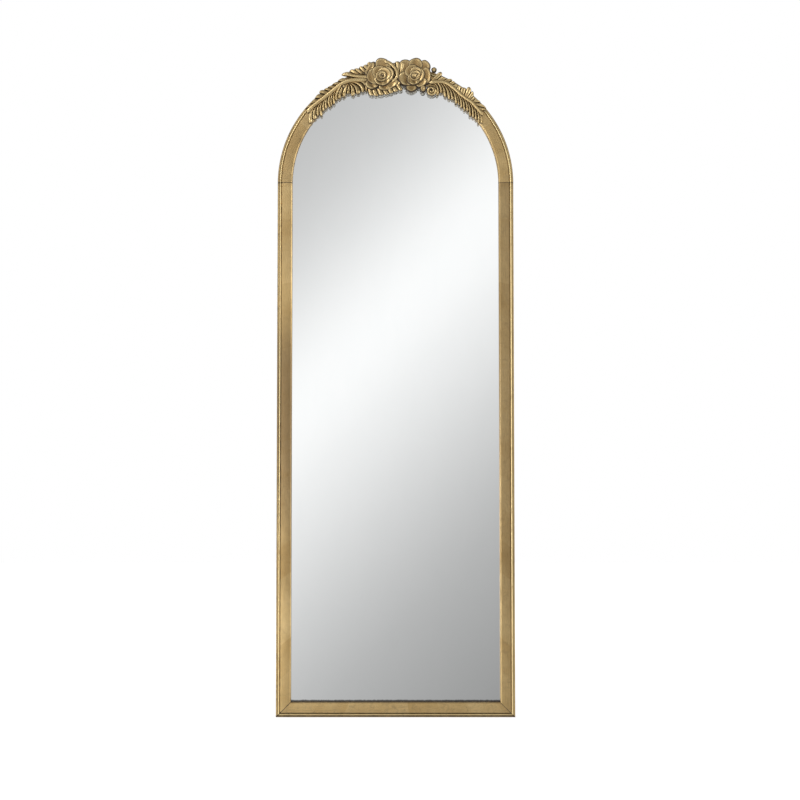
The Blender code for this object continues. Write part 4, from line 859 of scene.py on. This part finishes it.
crestLeaf = gildedMaterial("crest_leaf", 0.24, 0.16, 0.55, 0.48, bump=0.22, ground=gessoGround)
for order, (label, shells) in enumerate(crestPieces().items()):
    buildPiece("carved_" + label, shells, crestLeaf, "frame", [label], order)
    print("carved", label, "from", len(shells), "forms")


# Finishes of the pieces that keep their CAD shape

mirror = dict(
    silverEnds=0.0005, paintStarts=0.0030,  # depths behind the front
    shadowLineHeight=0.0038, shadowLineFull=0.0012, shadowLineSpecks=0.004,  # of the painted shadow line above the rail
)


def mirrorMaterial():
    # silvered glass: a bright front, faint wipe marks in its gloss, painted at the back, and a painted shadow
    # line where it meets the rail, its edge broken by specks
    material, tree, shader, place = newMaterial("silveredGlass")
    wipes = noise(tree, stretched(tree, place, (3, 1, 1.6)), 5, 4, 0.6, 0.8)
    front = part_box("mirror_glass")[0].y
    ends, starts = front + mirror["silverEnds"], front + mirror["paintStarts"]
    behind = spread(tree, parts(tree, place)["Y"], ends, starts)
    silver = blendColours(tree, wipes, (0.90, 0.915, 0.915), (0.93, 0.94, 0.94))
    specks = noise(tree, stretched(tree, place, (160, 1, 60)), 1, 3)
    # painted shadow: the glass is darkened just above the rail, where the rail's lip shades it
    above = weighted(tree, parts(tree, place)["Z"], (mouldWidth, -1), (specks, -mirror["shadowLineSpecks"]))
    shadowLine = spread(tree, above, mirror["shadowLineHeight"], mirror["shadowLineFull"], 0.0, 0.85)
    silver = blendColours(tree, shadowLine, silver, (0.05, 0.04, 0.03))
    gloss = spread(tree, wipes, 0.3, 0.8, 0.012, 0.035)
    finishShader(tree, shader, dict(Color=blendColours(tree, behind, silver, (0.16, 0.15, 0.14)),
                                    Metallic=weighted(tree, 1.0, (behind, -1.0)),
                                    Roughness=weighted(tree, gloss, (behind, 0.5))))
    return material


def hardboardMaterial():
    # pressed brown fibres: fine flecks, soft clouds and a faint cross weave
    material, tree, shader, place = newMaterial("hardboardFibres")
    flecks = noise(tree, place, 900, 3, 0.7)
    clouds = noise(tree, place, 7, 4, 0.6)
    threads = noise(tree, stretched(tree, place, (900, 900, 120)), 1, 2)
    base = blendColours(tree, clouds, (0.15, 0.075, 0.033), (0.24, 0.13, 0.062))
    marked = blendColours(tree, spread(tree, flecks, 0.45, 0.75, 0.0, 0.5), base, (0.40, 0.25, 0.13))
    colour = blendColours(tree, spread(tree, threads, 0.5, 0.8, 0.0, 0.35), marked, (0.08, 0.04, 0.02))
    finishShader(tree, shader, dict(Color=colour, Roughness=spread(tree, flecks, 0.2, 0.8, 0.62, 0.86),
                                    Height=sums(tree, "ADD", flecks, threads)), 0.25)
    return material


def steelMaterial():
    # zinc-plated steel: a bluish bloom, fine scratches and a little dust in the dull spots
    material, tree, shader, place = newMaterial("zincSteel")
    bloom = noise(tree, place, 60, 4, 0.6)
    scratches = noise(tree, stretched(tree, place, (2600, 300, 260)), 1, 3)
    spots = noise(tree, place, 420, 3, 0.6)
    colour = blendColours(tree, bloom, (0.50, 0.50, 0.49), (0.68, 0.68, 0.70))
    colour = blendColours(tree, spread(tree, spots, 0.60, 0.75, 0.0, 0.55), colour, (0.26, 0.23, 0.19))
    rough = spread(tree, scratches, 0.3, 0.7, 0.24, 0.40)
    rough = sums(tree, "ADD", rough, spread(tree, spots, 0.6, 0.75, 0.0, 0.2))
    metal = spread(tree, spots, 0.60, 0.75, 1.0, 0.7)
    finishShader(tree, shader, dict(Color=colour, Metallic=metal, Roughness=rough, Height=scratches), 0.15)
    return material


def beechMaterial():
    # the pine's grain, hardly stained, laid by the object's own coordinates
    material, tree, shader, place = newMaterial("beech")
    wood = useGroup(tree, pineGrain, flow=place, stain=0.05)
    finishShader(tree, shader, {label: wood[label] for label in ("Color", "Roughness", "Height")}, 0.2)
    return material


def rubberMaterial():
    # black rubber with a chalky bloom
    material, tree, shader, place = newMaterial("bumperRubber")
    bloom = noise(tree, place, 240, 4, 0.65)
    colour = blendColours(tree, spread(tree, bloom, 0.4, 0.75), (0.016, 0.016, 0.017), (0.075, 0.072, 0.068))
    rough = spread(tree, bloom, 0.3, 0.8, 0.55, 0.85)
    finishShader(tree, shader, dict(Color=colour, Roughness=rough, Height=bloom), 0.2)
    return material


finishes = dict(silvered_glass=mirrorMaterial(), hardboard=hardboardMaterial(), steel=steelMaterial(),
                raw_wood=beechMaterial(), rubber=rubberMaterial())
subparts = frame["record"]["subparts"]
slotOf = {part["node"]: part["material_slot"] for part in subparts if "material_slot" in part}
for label, item in nodes.items():
    if slotOf.get(label) in finishes:
        item.data.materials.clear()
        item.data.materials.append(finishes[slotOf[label]])
print("finishes:", len(finishes), "for", sum(slotOf.get(label) in finishes for label in nodes), "CAD pieces")


# Floor, lamps, world and camera

stage = dict(
    floorSize=12.0, floorTone=0.86, floorGlow=0.50,
    cameraAt=(0.0, -4.0, 0.65), pitch=2.83, lens=69.84, shift=(0.0056, -0.0189),
    roomLevel=0.62, glossLevel=1.08, belowLevel=0.50, leftLevel=0.55, rightLevel=1.1, aboveLevel=0.24,
    sheen=((0.0, 0.50), (0.12, 0.60), (0.22, 0.79), (0.32, 1.03), (0.42, 0.91), (0.55, 0.66), (0.68, 0.46),
           (0.85, 0.32), (1.0, 0.25)),
)
lamps = dict(  # place, size, power, and the height on the mirror's middle line that it is turned to
    key=((-2.1, -2.6, 3.3), 1.5, 46.0, 1.0),
    low=((-1.3, -3.0, 0.35), 1.1, 8.0, 1.0),
    left=((-1.8, -1.25, 0.4), 0.6, 8.0, 1.6),
    right=((2.2, -1.1, 1.3), 1.0, 6.0, 1.0),
    fill=((2.4, -2.2, 1.2), 2.2, 10.0, 1.0),
)


def makeFloor():
    # a plain pale floor that keeps the shadow, seen by the camera as white
    half = stage["floorSize"] / 2
    line = np.linspace(-half, half, 9)
    x, y = np.meshgrid(line, line)
    corners = np.stack([x, y, 0 * x - 0.0004], axis=-1).reshape(-1, 3)
    mesh = bpy.data.meshes.new("floor")
    mesh.from_pydata(corners.tolist(), [], gridFaces(9, 9).tolist())
    floor = bpy.data.objects.new("floor", mesh)
    scene.collection.objects.link(floor)
    material, tree, shader = newMaterial("paleFloor")[:3]
    seen = addNode(tree, "ShaderNodeLightPath").outputs["Is Camera Ray"]
    glow = times(tree, seen, stage["floorGlow"])
    for label, value in (("Base Color", (stage["floorTone"],) * 3), ("Roughness", 0.9),
                         ("Emission Color", (1, 1, 1)), ("Emission Strength", glow)):
        putIn(tree, shader.inputs[label], value)
    mesh.materials.append(material)
    floor.visible_glossy = False


def areaLamp(name, place, size, power, aim):
    # a square lamp that faces a height on the mirror's middle line
    data = bpy.data.lights.new(name, "AREA")
    data.size = size
    data.energy = power
    lamp = bpy.data.objects.new(name, data)
    lamp.location = place
    lamp.rotation_euler = (Vector((0, 0, aim)) - Vector(place)).to_track_quat("-Z", "Y").to_euler()
    scene.collection.objects.link(lamp)


def makeWorld():
    # white to the camera, plain to matt surfaces, and a soft slanting sheen in whatever is glossy
    world = bpy.data.worlds.new("room")
    world.use_nodes = True
    tree = world.node_tree
    tree.nodes.clear()
    way = parts(tree, addNode(tree, "ShaderNodeTexCoord").outputs["Generated"])
    across, along, up = (sums(tree, "ABSOLUTE", way[axis]) for axis in "XYZ")
    ahead = sums(tree, "MAXIMUM", along, 0.2)
    slant = sums(tree, "DIVIDE", sums(tree, "SUBTRACT", way["X"], way["Z"]), ahead)
    sheen = addNode(tree, "ShaderNodeValToRGB", {"Fac": spread(tree, slant, -0.30, 0.30, kind="LINEAR")})
    setRamp(sheen.color_ramp, stage["sheen"])
    below = spread(tree, way["Z"], 0.0, -0.5, 0.0, stage["belowLevel"])
    leftward = spread(tree, way["X"], -0.15, -0.8, 0.0, stage["leftLevel"])
    rightward = spread(tree, way["X"], 0.70, 0.95, 0.0, stage["rightLevel"])
    beside = weighted(tree, stage["aboveLevel"], (below, 1.0), (leftward, 1.0), (rightward, 1.0))
    grey = addNode(tree, "ShaderNodeCombineColor", dict.fromkeys(range(3), beside)).outputs[0]
    outside = spread(tree, sums(tree, "DIVIDE", sums(tree, "MAXIMUM", across, up), ahead), 0.30, 0.70)
    seen = blendColours(tree, outside, sheen.outputs["Color"], grey)
    path = addNode(tree, "ShaderNodeLightPath").outputs
    levels = (((1, 1, 1), stage["roomLevel"]), (seen, stage["glossLevel"]), ((1, 1, 1), 1.0))
    plain, glossy, white = (
        addNode(tree, "ShaderNodeBackground", {"Color": colour, "Strength": level}).outputs[0]
        for colour, level in levels)
    first = addNode(tree, "ShaderNodeMixShader", {0: path["Is Glossy Ray"], 1: plain, 2: glossy}).outputs[0]
    last = addNode(tree, "ShaderNodeMixShader", {0: path["Is Camera Ray"], 1: first, 2: white}).outputs[0]
    tree.links.new(last, addNode(tree, "ShaderNodeOutputWorld").inputs["Surface"])
    scene.world = world


def makeCamera():
    # level at its sides, tipped up by the pitch, its picture moved by the shift
    data = bpy.data.cameras.new("camera")
    data.lens = stage["lens"]
    data.sensor_width = 36
    data.shift_x, data.shift_y = stage["shift"]
    camera = bpy.data.objects.new("camera", data)
    camera.location = stage["cameraAt"]
    camera.rotation_mode = "XYZ"
    camera.rotation_euler = (math.radians(90 + stage["pitch"]), 0, 0)
    scene.collection.objects.link(camera)
    scene.camera = camera


makeFloor()
for name, settings in lamps.items():
    areaLamp(name, *settings)
makeWorld()
makeCamera()
scene.view_settings.view_transform = "Standard"
print("stage, lamps and camera ready")
